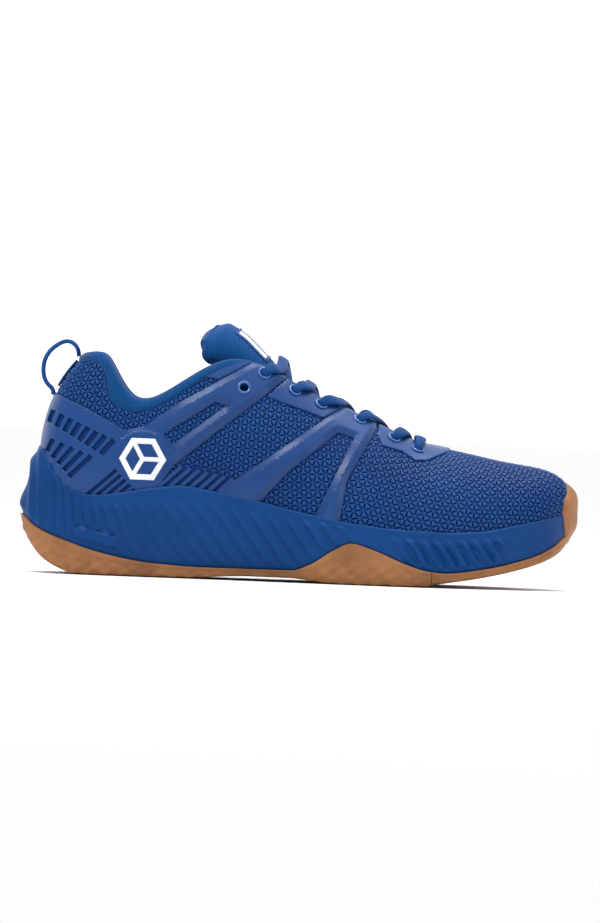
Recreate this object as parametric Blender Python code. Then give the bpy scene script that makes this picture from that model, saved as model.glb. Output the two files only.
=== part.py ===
"""Right-foot indoor court shoe, modelled as the pieces it is made of.

Design sizes are in millimetres. X runs from the back of the heel (0) to the toe (LENGTH), lateral is -Y,
medial is +Y and Z is up from the floor. `world` turns them into metres about the shoe's centre on the floor.

The upper is one lasted surface, `upper_point(s, t, side)`: s runs from the heel centre (0) to the toe centre
(1), t from the sole (0) to the topline, throat edge or vamp ridge (1). Every layer is a skin at its own
depth below that surface, so that nested layers never touch.
"""

import math

import bmesh
import bpy
import numpy as np
from mathutils import Vector

# ---------------------------------------------------------------- driving dimensions, mm
LENGTH = 295.0
TOE_SWING = 8.0  # how far the toe's centre lies to the medial side
LAYER_GAP = 0.35  # clearance kept between neighbouring layers
UPPER_THICKNESS = 1.2
LINING_THICKNESS = 0.9
OVERLAY_THICKNESS = 1.0
COLLAR_PAD = 8.0  # depth of the padded collar, outer face to inner face
EYELET_BORE = 2.2  # radii of an eyelet
EYELET_BARREL = 2.7
EYELET_FLANGE = 3.5
LACE_WIDTH = 5.0
LACE_THICKNESS = 1.3
LACE_ROUND = 2.2  # diameter of the lace squeezed through an eyelet
LOOP_WIDTH = 9.0
LOOP_THICKNESS = 1.6
OUTSOLE_SPLIT = 218.5  # where the rear outsole meets the forefoot one
CENTRE_Y = 2.0  # the footprint's own middle, moved onto Y = 0
RIM_GAP = 0.6  # clearance between the midsole's cup and the upper
OUTSOLE_THICKNESS = 4.0
BACK_STAY_HALF_WIDTH = 4.5
BOARD_HALF = 0.6  # half the strobel board's thickness
SHANK_FROM, SHANK_TO = 86, 150
BUMPER_START = 23 / 26  # s where the toe bumper begins on each side
BUMPER_TOP_T = 0.56  # t of the bumper's top at the toe
FOAM_LOW = 4 / 6  # t of the collar foam's lower edge
WELD = 2e-5  # points closer than this, in metres, are one
ON_CENTRE = 0.7  # points nearer the centre plane than this, in mm, are on it
TWIN = 0.02  # rim edges closer than this, in mm, meet and aren't closed

LATERAL, MEDIAL = -1, 1
SIDE_NAMES = {LATERAL: "lateral", MEDIAL: "medial"}

# Rails of the lasted surface, heel centre to toe centre: x, lateral half width, medial half width, z.
FEATHER_RAIL = (
    (15, 0, 0, 28),
    (20, 19, 19, 28),
    (37, 30, 29, 27.5),
    (58, 33, 31, 27),
    (82, 33, 29, 26),
    (106, 34, 28, 24.5),
    (131, 37, 30, 22),
    (156, 42, 36, 19.5),
    (182, 47, 43, 18),
    (207, 48, 45, 18),
    (232, 44, 43, 19.5),
    (256, 35, 36, 23.5),
    (274.5, 24, 26, 28),
    (284, 0, 0, 30.5),
)
LOWER_WALL_RAIL = (
    (4, 0, 0, 62),
    (12, 24, 24, 60),
    (34, 35, 34, 56),
    (58, 38, 36.5, 52),
    (82, 39, 37, 54),
    (106, 41, 37, 54),
    (131, 46, 40, 50),
    (156, 52, 46, 46),
    (184, 56, 53, 42),
    (210, 57, 55, 40),
    (236, 53, 53, 40),
    (262, 44, 46, 42),
    (285.5, 31, 34, 48),
    (299, 0, 0, 53),
)
UPPER_WALL_RAIL = (
    (10, 0, 0, 95),
    (15, 21, 21, 94),
    (35, 30, 30, 88),
    (57, 33, 32, 74),
    (81, 36, 35, 80),
    (104, 36, 35, 92),
    (128, 38, 37, 97),
    (153, 38, 37, 87),
    (180, 36, 36, 78),
    (206, 33, 34, 70.5),
    (228, 28, 30, 70.5),
    (250, 24, 26, 67.5),
    (274, 17, 19, 64.5),
    (289, 0, 0, 63),
)
TOP_RAIL = (
    (30, 0, 0, 114.5),
    (33, 17, 17, 115),
    (43, 26, 26, 110),
    (58, 30, 30, 90.8),
    (80, 31, 31, 98),
    (104, 28, 28, 112.5),
    (126, 22, 22, 112.5),
    (152, 18, 18, 99),
    (180, 14, 14, 87.5),
    (204, 8, 8, 77.2),
    (220, 0, 0, 73.2),
    (238, 0, 0, 70),
    (255, 0, 0, 66.8),
    (268, 0, 0, 65),
)
STATIONS = len(TOP_RAIL) - 1
THROAT_BASE = 10 / STATIONS  # s where the throat closes and the vamp's ridge begins
COLLAR_FRONT = 6 / STATIONS  # s where the collar ends at the top eyelet

# Sole outline in plan, heel centre to toe centre: x, lateral half width, medial half width.
SOLE_PLAN = (
    (0, 0, 0),
    (5, 18, 17.5),
    (20, 31.5, 30.5),
    (45, 38, 37),
    (80, 38.5, 34.5),
    (115, 39, 32),
    (145, 44, 35),
    (175, 51, 43),
    (200, 54, 49),
    (225, 51, 49),
    (250, 43, 43.5),
    (270, 33.5, 36),
    (284.5, 20.5, 22),
    (291, 0, 0),
)
# Side-view curves of the sole: x, z.
GROUND_CURVE = (
    (0, 29.5),
    (1.1, 23.8),
    (3.3, 18.7),
    (7, 13),
    (12.4, 7.4),
    (20, 3),
    (30, 0),
    (84, 0),
    (122, 1.9),
    (142, 1.9),
    (168, 0),
    (212, 0),
    (224, 1.8),
    (245, 5.4),
    (271, 12.3),
    (284, 18.2),
    (291, 25),
)
GUM_CURVE_LATERAL = (
    (0, 30.5),
    (7.7, 24),
    (25, 17),
    (46, 11),
    (69, 7.2),
    (99, 5.8),
    (144, 6),
    (154, 9.4),
    (166, 17.3),
    (175.5, 21.5),
    (185, 19.2),
    (204, 11.7),
    (214, 8.6),
    (225, 7.4),
    (244, 9.8),
    (271, 17),
    (283, 23.2),
    (291, 31),
)
GUM_CURVE_MEDIAL = (
    (0, 30.5),
    (7.7, 24),
    (25, 17),
    (46, 11),
    (69, 7.2),
    (99, 5.8),
    (150, 6),
    (170, 11),
    (185, 14.5),
    (200, 11.5),
    (214, 8.6),
    (225, 7.4),
    (244, 9.8),
    (271, 17),
    (283, 23.2),
    (291, 31),
)
FOAM_EDGE_CURVE = (
    (9, 67.4),
    (12, 62.9),
    (15.1, 56.7),
    (19.4, 49.9),
    (24.3, 44.9),
    (30.7, 42.2),
    (39, 41.3),
    (53, 43.1),
    (70, 46),
    (85, 47.5),
    (100, 45.6),
    (125, 41.3),
    (150, 36.1),
    (180, 30.7),
    (202, 28.7),
    (224, 28.1),
    (244, 29.4),
    (263, 33.4),
    (277, 37),
    (290, 41),
)
FOOTBED_CURVE = (
    (10, 28.5),
    (40, 27.3),
    (80, 26.2),
    (110, 24),
    (140, 21),
    (175, 18.3),
    (205, 18),
    (232, 19.5),
    (256, 23.5),
    (275, 28),
    (290, 32),
)

# Eyelets: x and z in side view. The first is the offset lace-lock hole, which stays empty.
EYELETS = (
    (115.7, 100.7),
    (125.5, 108),
    (142.1, 100.2),
    (156.4, 93.4),
    (176.7, 85),
    (195.5, 76.7),
    (208.7, 71.3),
)

# Outlines of the welded overlays in side view: x, z.
HEEL_CAGE_OUTLINE = (
    (-5, 93),
    (15.4, 95.5),
    (34.8, 86.4),
    (54.2, 76.3),
    (64.4, 79.1),
    (83, 93),
    (104, 105.5),
    (124, 117),
    (131, 114),
    (138.4, 107.5),
    (126, 96.5),
    (102.2, 77.3),
    (80.3, 59.2),
    (66, 38),
    (-5, 38),
)
HEEL_CAGE_WINDOW = ((101.1, 93.2), (106.6, 91.6), (79.3, 70.1), (74.5, 75.4))
HEEL_CAGE_SLOT_ROWS = (  # first slot centre, last slot centre, count, half length, half width, lean
    ((20, 76), (54, 62.5), 5, 4.6, 1.3, 0.5),
    ((24, 62), (41, 52.5), 4, 5.2, 1.2, 0.75),
)
COLLAR_PATCH_OUTLINE = ((95, 106.3), (102.6, 105.3), (122.6, 116.6), (121, 125), (108, 125))
EYESTAY_PANEL_OUTLINE = ((139, 107), (127.9, 97), (158.2, 86.6), (167.4, 92.2), (160, 104), (146, 112))
MIDFOOT_CAGE_OUTLINE = (
    (168, 92.4),
    (158.7, 86),
    (124.3, 60.9),
    (100, 43.6),
    (104, 36),
    (122, 36),
    (141, 58),
    (166.3, 79),
    (174.6, 76.5),
    (160.5, 46),
    (154, 30),
    (168, 26),
    (172, 54.3),
    (186.2, 81.6),
    (186, 96),
    (172, 100),
)
THROAT_PANEL_OUTLINE = (
    (187, 96),
    (187, 77.5),
    (190, 73.1),
    (200.7, 70.2),
    (207.4, 65.9),
    (214, 66),
    (224, 70.4),
    (227, 72.5),
    (220, 90),
)
EMBLEM_CENTRE = (63.8, 61.7)
EMBLEM_RADIUS = 12.5
EMBLEM_BAND = 2.0

TONGUE_RIDGE = (  # side view of the tongue's outer face, base to top: x, z
    (214, 66.5),
    (196, 75),
    (178, 84.5),
    (154, 96),
    (137, 107.5),
    (124, 119.4),
    (113, 131),
    (106.5, 136),
)
TONGUE_HALF_ARC = (7, 8, 11, 16, 19, 25, 34, 33)  # mm round the arch, at the same places
TONGUE_ARCH_RADIUS = (30, 32, 36, 34, 26, 19.3, 19, 21)
TONGUE_TOTAL = 8.0  # outer face to inner face

LOOP_PATH = (
    (27.2, 114.3),
    (26.1, 119.4),
    (22, 122.6),
    (15.5, 120.6),
    (9.6, 113.6),
    (8.6, 106),
    (11.2, 99.6),
    (14.2, 95.8),
)

# ---------------------------------------------------------------- materials
MATERIALS = {  # base colour, roughness, metallic
    "gum_rubber": ((0.46, 0.21, 0.08), 0.55, 0),
    "midsole_foam": ((0.006, 0.085, 0.33), 0.5, 0),
    "upper_mesh": ((0.01, 0.075, 0.30), 0.6, 0),
    "overlay_film": ((0.025, 0.085, 0.30), 0.4, 0),
    "knit": ((0.004, 0.10, 0.36), 0.8, 0),
    "webbing": ((0.006, 0.11, 0.42), 0.75, 0),
    "foam": ((0.75, 0.75, 0.7), 0.9, 0),
    "board": ((0.8, 0.78, 0.72), 0.85, 0),
    "stiffener": ((0.7, 0.68, 0.62), 0.5, 0),
    "shank": ((0.02, 0.02, 0.022), 0.35, 0),
    "print": ((0.85, 0.85, 0.85), 0.5, 0),
    "eyelet_finish": ((0.015, 0.15, 0.5), 0.3, 0),
}


# ---------------------------------------------------------------- curves
def smooth(knots, values, flat_ends=False):
    """A C2 cubic through the knots, natural at its ends or with zero slope there."""
    x, y = np.asarray(knots, float), np.asarray(values, float)
    n, h = len(x), np.diff(x)
    system, right = np.zeros((n, n)), np.zeros(n)
    for i in range(1, n - 1):
        system[i, i - 1 : i + 2] = h[i - 1], 2 * (h[i - 1] + h[i]), h[i]
        right[i] = 6 * ((y[i + 1] - y[i]) / h[i] - (y[i] - y[i - 1]) / h[i - 1])
    if flat_ends:
        system[0, :2], right[0] = (2 * h[0], h[0]), 6 * (y[1] - y[0]) / h[0]
        system[-1, -2:], right[-1] = (h[-1], 2 * h[-1]), -6 * (y[-1] - y[-2]) / h[-1]
    else:
        system[0, 0] = system[-1, -1] = 1
    bend = np.linalg.solve(system, right)

    def curve(at):
        at = np.clip(np.asarray(at, float), x[0], x[-1])
        i = np.clip(np.searchsorted(x, at) - 1, 0, n - 2)
        a, b = (x[i + 1] - at) / h[i], (at - x[i]) / h[i]
        cubic = ((a**3 - a) * bend[i] + (b**3 - b) * bend[i + 1]) * h[i] ** 2 / 6
        return a * y[i] + b * y[i + 1] + cubic

    return curve


def steady(points):
    """A C1 curve z(x) through side-view points that never overshoots between them."""
    x, z = np.array(points, float).T
    h, rise = np.diff(x), np.diff(z) / np.diff(x)
    slope = np.zeros(len(x))
    same = rise[:-1] * rise[1:] > 0
    inner = np.where(same, 2 * rise[:-1] * rise[1:] / np.where(same, rise[:-1] + rise[1:], 1), 0)
    slope[1:-1], slope[0], slope[-1] = inner, rise[0], rise[-1]

    def curve(at):
        at = np.clip(np.asarray(at, float), x[0], x[-1])
        i = np.clip(np.searchsorted(x, at) - 1, 0, len(x) - 2)
        u = (at - x[i]) / h[i]
        value = (1 + 2 * u) * (1 - u) ** 2 * z[i] + u * u * (3 - 2 * u) * z[i + 1]
        return value + h[i] * (u * (1 - u) ** 2 * slope[i] - u * u * (1 - u) * slope[i + 1])

    return curve


def ease(value, low, high):
    """0 below low, 1 above high, and smooth between them."""
    u = np.clip((np.asarray(value, float) - low) / (high - low), 0, 1)
    return u * u * (3 - 2 * u)


def centre_line(x):
    """Y of the shoe's long centre line, which swings to the medial side at the toe."""
    return TOE_SWING * ease(x, 120, 300)


# ---------------------------------------------------------------- the lasted surface of the upper
def rail(rows):
    knots = np.linspace(0, 1, len(rows))
    x, lateral, medial, z = np.array(rows, float).T
    return {
        "x": smooth(knots, x, flat_ends=True),
        "z": smooth(knots, z, flat_ends=True),
        LATERAL: smooth(knots, lateral),
        MEDIAL: smooth(knots, medial),
    }


RAILS = [rail(rows) for rows in (FEATHER_RAIL, LOWER_WALL_RAIL, UPPER_WALL_RAIL, TOP_RAIL)]
TOP_WIDTH = steady([(i / STATIONS, row[1]) for i, row in enumerate(TOP_RAIL)])


def upper_point(s, t, side):
    """Points of the lasted surface, in mm, as an array of x, y, z."""
    s, t = np.broadcast_arrays(np.asarray(s, float), np.asarray(t, float))
    x = [r["x"](s) for r in RAILS]
    z = [r["z"](s) for r in RAILS]
    width = [r[side](s) for r in RAILS[:3]] + [TOP_WIDTH(s)]
    step = 1e-3
    ahead, behind = np.minimum(s + step, 1), s - step
    run = RAILS[3]["x"](ahead) - RAILS[3]["x"](behind)
    slope = (RAILS[3]["z"](ahead) - RAILS[3]["z"](behind)) / np.where(abs(run) < 1e-9, 1, run)
    on_ridge = z[3] + slope * (x[2] - x[3])
    z[2] = z[2] + (on_ridge - z[2]) * ease(s, THROAT_BASE - 1 / STATIONS, THROAT_BASE)
    weights = ((1 - t) ** 3, 3 * t * (1 - t) ** 2, 3 * t * t * (1 - t), t**3)
    out = [sum(w * v for w, v in zip(weights, values)) for values in (x, width, z)]
    middle = sum(w * centre_line(v) for w, v in zip(weights, x))
    return np.stack([out[0], middle + side * out[1], out[2]], axis=-1)


def upper_normal(s, t, side):
    """Outward unit normals of the lasted surface."""
    step = 2e-3
    s = np.clip(np.asarray(s, float), step, 1 - 2 * step)
    t = np.clip(np.asarray(t, float), step, 1 - step)
    along = upper_point(s + step, t, side) - upper_point(s - step, t, side)
    up = upper_point(s, t + step, side) - upper_point(s, t - step, side)
    normal = -side * np.cross(along, up)
    normal = normal / np.linalg.norm(normal, axis=-1, keepdims=True)
    return normal


def surface_lattice():
    """Points and offset directions of the lasted surface at the lattice's corners, for each side."""
    s, t = np.meshgrid(S_LATTICE, T_LATTICE, indexing="ij")
    centred = (s < 1e-6) | (s > 1 - 1e-6) | ((t > 1 - 1e-6) & (s >= THROAT_BASE - 1e-6))
    shared = upper_normal(s, t, LATERAL) + upper_normal(s, t, MEDIAL)
    shared[..., 1] = 0
    lattice = {}
    for side in (LATERAL, MEDIAL):
        normal = np.where(centred[..., None], shared, upper_normal(s, t, side))
        lattice[side] = upper_point(s, t, side), normal / np.linalg.norm(normal, axis=-1, keepdims=True)
    return lattice


S_LATTICE = np.arange(0, 2 * STATIONS + 1) / (2 * STATIONS)
T_LATTICE = np.linspace(0, 1, 7)
LATTICE = surface_lattice()


def upper_offset(s, t, side, depth):
    """The lasted surface's facets, moved `depth` mm inwards. Every layer is a copy of the same facets, so
    layers at different depths can't touch."""
    s, t, depth = np.broadcast_arrays(np.asarray(s, float), np.asarray(t, float), np.asarray(depth, float))
    place_s, place_t = s * (len(S_LATTICE) - 1), t * (len(T_LATTICE) - 1)
    i = np.clip(place_s.astype(int), 0, len(S_LATTICE) - 2)
    j = np.clip(place_t.astype(int), 0, len(T_LATTICE) - 2)
    a, b = (place_s - i)[..., None], (place_t - j)[..., None]

    def between(grid):
        low = grid[i, j] * (1 - a) + grid[i + 1, j] * a
        high = grid[i, j + 1] * (1 - a) + grid[i + 1, j + 1] * a
        return low * (1 - b) + high * b

    points, normals = LATTICE[side]
    return between(points) - between(normals) * depth[..., None]


def locate(x, z, side):
    """The (s, t) where the lasted surface is seen at x, z from that side."""
    s, t = np.meshgrid(np.linspace(0, 1, 401), np.linspace(0, 1, 161), indexing="ij")
    seen = upper_point(s, t, side)
    near = np.argmin((seen[..., 0] - x) ** 2 + (seen[..., 2] - z) ** 2)
    return s.flat[near], t.flat[near]


def eyelet_frame(index, side):
    """Centre on the lasted surface and outward normal of one eyelet."""
    s, t = locate(*EYELETS[index], side)
    return upper_offset(s, t, side, 0), upper_normal(s, t, side)


# ---------------------------------------------------------------- Blender helpers
def world(points):
    """Design millimetres to metres, about the shoe's centre on the floor."""
    return (np.asarray(points, float) - (LENGTH / 2, CENTRE_Y, 0)) * 0.001


def material(name):
    made = bpy.data.materials.get(name)
    if made:
        return made
    colour, roughness, metallic = MATERIALS[name]
    made = bpy.data.materials.new(name)
    made.use_nodes = True
    shader = made.node_tree.nodes["Principled BSDF"]
    shader.inputs["Base Color"].default_value = (*colour, 1)
    shader.inputs["Roughness"].default_value = roughness
    shader.inputs["Metallic"].default_value = metallic
    return made


def split_quads(vertices, faces):
    """Cuts every quad along the diagonal from its lowest, rearmost corner, so that the layers of a stack
    fold the same way. A quad with three corners on the centre plane is cut from its fourth."""
    off_centre = abs(vertices[:, 1] - centre_line(vertices[:, 0]))
    rank = vertices[:, 0] + 0.5 * vertices[:, 2] + 0.3 * off_centre
    split = []
    for face in faces:
        if len(face) != 4:
            split.append(face)
            continue
        first = min(range(4), key=lambda corner: rank[face[corner]])
        outside = [corner for corner in range(4) if off_centre[face[corner]] > ON_CENTRE]
        first = outside[0] if len(outside) == 1 else first
        a, b, c, d = face[first:] + face[:first]
        split += [[a, b, c], [a, c, d]]
    return split


def add_object(name, vertices, faces, finish, collection):
    """A mesh object from design points, with coincident points made one and faces turned outwards."""
    vertices = np.asarray(vertices, float)
    mesh = bpy.data.meshes.new(name)
    mesh.from_pydata(world(vertices).tolist(), [], split_quads(vertices, faces))
    build = bmesh.new()
    build.from_mesh(mesh)
    bmesh.ops.remove_doubles(build, verts=build.verts, dist=WELD)
    bmesh.ops.dissolve_degenerate(build, edges=build.edges, dist=WELD / 2)
    bmesh.ops.recalc_face_normals(build, faces=build.faces)
    build.to_mesh(mesh)
    build.free()
    mesh.materials.append(material(finish))
    mesh.shade_smooth()
    mesh.set_sharp_from_angle(angle=math.radians(35))
    made = bpy.data.objects.new(name, mesh)
    collection.objects.link(made)
    return made


def grid_faces(rows, columns, wrap_rows=False, wrap_columns=False):
    """Quads of a grid of points stored row by row."""
    faces = []
    for i in range(rows if wrap_rows else rows - 1):
        for j in range(columns if wrap_columns else columns - 1):
            i2, j2 = (i + 1) % rows, (j + 1) % columns
            faces.append([i * columns + j, i2 * columns + j, i2 * columns + j2, i * columns + j2])
    return faces


def grid_solid(name, outer, inner, finish, collection):
    """A closed solid between two point grids of the same shape. Where the grid's rim meets itself, as round
    the toe or along the ridge, it is joined there instead of being closed."""
    rows, columns = outer.shape[:2]
    count = rows * columns
    vertices = np.concatenate([outer.reshape(-1, 3), inner.reshape(-1, 3)])
    front = grid_faces(rows, columns)
    faces = front + [[v + count for v in reversed(f)] for f in front]
    rim = [(i, 0) for i in range(rows)] + [(rows - 1, j) for j in range(1, columns)]
    rim += [(i, columns - 1) for i in range(rows - 2, -1, -1)] + [(0, j) for j in range(columns - 2, 0, -1)]
    ring = [i * columns + j for i, j in rim]
    edges = np.array([ring, ring[1:] + ring[:1]]).T
    middles = vertices[edges].mean(axis=1)
    twins = np.linalg.norm(middles[:, None] - middles, axis=-1) < TWIN
    for (a, b), matches in zip(edges.tolist(), twins.sum(axis=1)):
        if matches == 1:
            faces.append([b, a, a + count, b + count])
    return add_object(name, vertices, faces, finish, collection)


def tube_solid(name, rings, finish, collection):
    """A closed solid through rings of points, with a cap at each end."""
    rings = np.asarray(rings)
    count, sides = rings.shape[:2]
    faces = grid_faces(count, sides, wrap_columns=True)
    faces.append(list(range(sides)))
    faces.append([(count - 1) * sides + j for j in reversed(range(sides))])
    return add_object(name, rings.reshape(-1, 3), faces, finish, collection)


def fan_solid(name, profile, finish, collection):
    """A closed solid round the whole shoe. profile(s, side) runs from the centre line on top, out to the
    edge and back to the centre line underneath. The two sides share the centre line's points."""
    columns = ring_columns(0, 1)[:-1]
    points = np.array([profile(s, side) for s, side in columns])
    faces = grid_faces(*points.shape[:2], wrap_rows=True)
    return add_object(name, points.reshape(-1, 3), faces, finish, collection)


def prism(name, outline, y_from, y_to, collection):
    """A cutter: a side-view outline carried across the shoe from y_from to y_to."""
    count = len(outline)
    vertices = [(x, y, z) for y in (y_from, y_to) for x, z in outline]
    faces = [list(range(count)), [count + j for j in reversed(range(count))]]
    faces += [[(j + 1) % count, j, count + j, count + (j + 1) % count] for j in range(count)]
    return as_cutter(add_object(name, vertices, faces, "board", collection))


def rod(name, centre, direction, radius, length, collection):
    """A round cutter along a direction, centred on a point."""
    build = bmesh.new()
    bmesh.ops.create_cone(
        build, cap_ends=True, segments=8, radius1=radius * 0.001, radius2=radius * 0.001, depth=length * 0.001
    )
    mesh = bpy.data.meshes.new(name)
    build.to_mesh(mesh)
    build.free()
    made = bpy.data.objects.new(name, mesh)
    made.rotation_mode = "QUATERNION"
    made.rotation_quaternion = Vector(direction).to_track_quat("Z", "Y")
    made.location = Vector(world(centre))
    collection.objects.link(made)
    return as_cutter(made)


def as_cutter(made):
    made.hide_render = True
    made.display_type = "WIRE"
    return made


def boolean(obj, cutter, operation="DIFFERENCE"):
    cut = obj.modifiers.new(f"{operation} {cutter.name}", "BOOLEAN")
    cut.operation, cut.object, cut.solver = operation, cutter, "EXACT"


def across(side):
    """Y from the centre plane to beyond one side of the shoe."""
    return (-90, 3) if side == LATERAL else (3, 90)


# ---------------------------------------------------------------- skins of the upper
def lattice_between(low, high):
    """The lattice's s or t values strictly between two values, with those two at the ends."""
    return [low] + [v for v in S_LATTICE if low + 1e-3 < v < high - 1e-3] + [high]


def rows_between(low, high):
    """The lattice's t values between two limits, padded at the limits so that every column has as many."""
    return np.concatenate([[low], np.clip(T_LATTICE[1:-1], low, high), [high]])


def ring_columns(s_from, s_to):
    """Columns from the lateral side round the heel (or from the toe round the heel) to the medial side."""
    values = lattice_between(s_from, s_to)
    return [(s, LATERAL) for s in reversed(values)] + [(s, MEDIAL) for s in values[1:]]


def toe_columns(s_from):
    """Columns from the lateral side round the toe to the medial side."""
    values = lattice_between(s_from, 1)
    return [(s, LATERAL) for s in values] + [(s, MEDIAL) for s in reversed(values[:-1])]


def side_columns(s_from, s_to, side):
    return [(s, side) for s in lattice_between(s_from, s_to)]


def skin(name, columns, rows, depth, thickness, finish, collection):
    """A layer of the upper. rows(s) gives the column's t values and depth(s, t) the outer face's depth."""
    outer, inner = [], []
    for s, side in columns:
        t = rows(s)
        below = depth(s, t) if callable(depth) else depth + 0 * t
        outer.append(upper_offset(s, t, side, below))
        inner.append(upper_offset(s, t, side, below + thickness))
    return grid_solid(name, np.array(outer), np.array(inner), finish, collection)


def band_edge(s):
    """t where the mesh ends and the knit collar band begins."""
    rear_rise = 0.03 * ease(s, 0.25, COLLAR_FRONT - 0.03)
    return 0.935 + rear_rise + 0.035 * ease(s, COLLAR_FRONT, COLLAR_FRONT + 0.04)


def lining_depth(s, t):
    """Depth of the lining's outer face: clear of the heel counter, the collar foam and the toe puff."""
    counter = 1.6 * (1 - ease(s, 0.22, 0.30)) * (1 - ease(t, 0.5, 0.66))
    puff = 1.3 * ease(s, 0.80, 0.86)
    pad = (COLLAR_PAD - 2.5) * (1 - ease(s, COLLAR_FRONT - 0.12, COLLAR_FRONT)) * ease(t, 0.55, 0.84)
    return UPPER_THICKNESS + LAYER_GAP + counter + puff + pad


def lining_top(s):
    """t of the lining's upper edge, below the collar's and just inside the throat's."""
    return 0.6 + 0.37 * ease(s, 0.36, COLLAR_FRONT) + 0.03 * ease(s, 0.66, THROAT_BASE)


def foam_t(s, side):
    """t where the midsole's rim meets the upper."""
    if s < 1e-6 or s > 1 - 1e-6:
        side = LATERAL
    t = np.linspace(0.02, 0.7, 341)
    points = upper_offset(s, t, side, 0)
    return t[np.argmin(abs(points[:, 2] - steady(FOAM_EDGE_CURVE)(points[:, 0])))]


def upper(collection):
    """The one-piece textured upper, up to the knit collar band and the throat's edge."""

    def rows(s):
        return rows_between(0, band_edge(s))

    skin("upper", ring_columns(0, 1), rows, 0, UPPER_THICKNESS, "upper_mesh", collection)


def inner_layers(collection):
    """Heel counter, toe puff and lining."""
    behind_mesh = UPPER_THICKNESS + LAYER_GAP
    heel_rows, toe_rows = rows_between(0.04, 0.49), rows_between(0.04, 0.86)
    heel, toe = ring_columns(0, 0.21), toe_columns(0.88)
    skin("heel_counter", heel, lambda s: heel_rows, behind_mesh, 1.25, "stiffener", collection)
    skin("toe_puff", toe, lambda s: toe_rows, behind_mesh, 0.95, "stiffener", collection)

    def lining_rows(s):
        return rows_between(0.04, lining_top(s))

    skin("lining", ring_columns(0, 1), lining_rows, lining_depth, LINING_THICKNESS, "knit", collection)


def roll_points(s, side, near, far):
    """Half round over the topline from depth `near` to depth `far`."""
    edge, inside = upper_offset(s, 1, side, near), upper_offset(s, 1, side, far)
    up = upper_offset(s, 1, side, 0) - upper_offset(s, 0.97, side, 0)
    up /= np.linalg.norm(up)
    middle, half = (edge + inside) / 2, (inside - edge) / 2
    radius = np.linalg.norm(half)
    turns = np.radians((0, 45, 90, 135, 180))
    return [middle - half * math.cos(a) + up * radius * math.sin(a) for a in turns]


def collar_section(s, side, low_outer, low_inner, near, far):
    """One side of the collar's section: up the outer face, over the topline and down inside."""
    outside = [upper_offset(s, t, side, near) for t in rows_between(low_outer, 1)[:-1]]
    inside = [upper_offset(s, t, side, far(s, t)) for t in rows_between(low_inner, 1)[-2::-1]]
    return outside + roll_points(s, side, near, far(s, 1)) + inside


def behind_lining(s, t):
    return lining_depth(s, t) + LINING_THICKNESS


def collar(collection):
    """The knit collar lining, rolled over the topline, and the foam it holds."""

    def knit_ring(s, side):
        low_outer, low_inner = band_edge(s) + 0.012, min(lining_top(s) + 0.012, 0.985)
        front = collar_section(s, side, low_outer, low_inner, 0, behind_lining)
        back = collar_section(s, side, low_outer, low_inner, LINING_THICKNESS, lining_depth)
        return front + back[::-1]

    columns = ring_columns(0, COLLAR_FRONT)
    tube_solid("collar_lining", [knit_ring(s, side) for s, side in columns], "knit", collection)

    def foam_ring(s, side):
        rows = rows_between(FOAM_LOW, 1)
        far = [upper_offset(s, t, side, lining_depth(s, t) - LAYER_GAP) for t in rows[::-1]]
        near = [upper_offset(s, t, side, UPPER_THICKNESS + LAYER_GAP) for t in rows]
        cap = roll_points(s, side, UPPER_THICKNESS + LAYER_GAP, lining_depth(s, 1) - LAYER_GAP)[1:-1]
        return far + near + cap

    columns = ring_columns(0, COLLAR_FRONT - 0.06)
    tube_solid("collar_foam", [foam_ring(s, side) for s, side in columns], "foam", collection)


# ---------------------------------------------------------------- sole
GROUND, FOAM_EDGE, FOOTBED = steady(GROUND_CURVE), steady(FOAM_EDGE_CURVE), steady(FOOTBED_CURVE)
GUM = {LATERAL: steady(GUM_CURVE_LATERAL), MEDIAL: steady(GUM_CURVE_MEDIAL)}
PLAN = rail([(*row, 0) for row in SOLE_PLAN])
SPINE = (48, 258)  # x of the sole's centre line under the first and last column


def plan_point(s, side):
    x = PLAN["x"](s)
    return np.array([x, centre_line(x) + side * PLAN[side](s)])


def plan_normal(s, side):
    """Outward horizontal direction of the sole's outline."""
    if s < 1e-6 or s > 1 - 1e-6:
        return np.array([-1.0 if s < 0.5 else 1.0, 0.0])
    ahead, behind = plan_point(min(s + 0.01, 1), side), plan_point(max(s - 0.01, 0), side)
    along = ahead - behind
    normal = np.array([along[1], -along[0]]) * -side
    return normal / np.linalg.norm(normal)


def rim_width(s):
    """Width of the midsole's top rim."""
    return 1.3 + 1.3 * ease(s, 0.08, 0.25) * (1 - ease(s, 0.8, 0.95))


def wall_point(s, h, side, grow=0.0):
    """The sole's outer wall in one column: h is 0 at the tread's edge and 1 at the foam's rim."""
    plan, normal = plan_point(s, side), plan_normal(s, side)
    top = upper_offset(s, foam_t(s, side), side, -RIM_GAP - rim_width(s))
    bulge = ease(plan[0], 10, 50) * (1 - ease(plan[0], 240, 280))
    foot = plan - normal * 3.0 * bulge
    foot = np.array([*foot, GROUND(foot[0])])
    rise = top[2] - foot[2]
    low = np.array([*(plan + normal * 1.2 * bulge), foot[2] + 0.3 * rise])
    high = np.array([*(top[:2] + (plan - top[:2]) * 0.45), foot[2] + 0.74 * rise])
    point = (1 - h) ** 3 * foot + 3 * h * (1 - h) ** 2 * low + 3 * h * h * (1 - h) * high + h**3 * top
    point[:2] += normal * grow
    return point


def gum_share(s, side):
    """h where the gum outsole ends and the foam begins."""
    if s < 1e-6 or s > 1 - 1e-6:
        side = LATERAL
    h = np.linspace(0.01, 0.9, 179)
    points = np.array([wall_point(s, value, side) for value in h])
    return h[np.argmin(abs(points[:, 2] - GUM[side](points[:, 0])))]


def spine_point(s, height):
    """A point of the centre line for column s; height(x) gives its z."""
    x = SPINE[0] + (SPINE[1] - SPINE[0]) * s
    return np.array([x, centre_line(x), height(x)])


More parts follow.
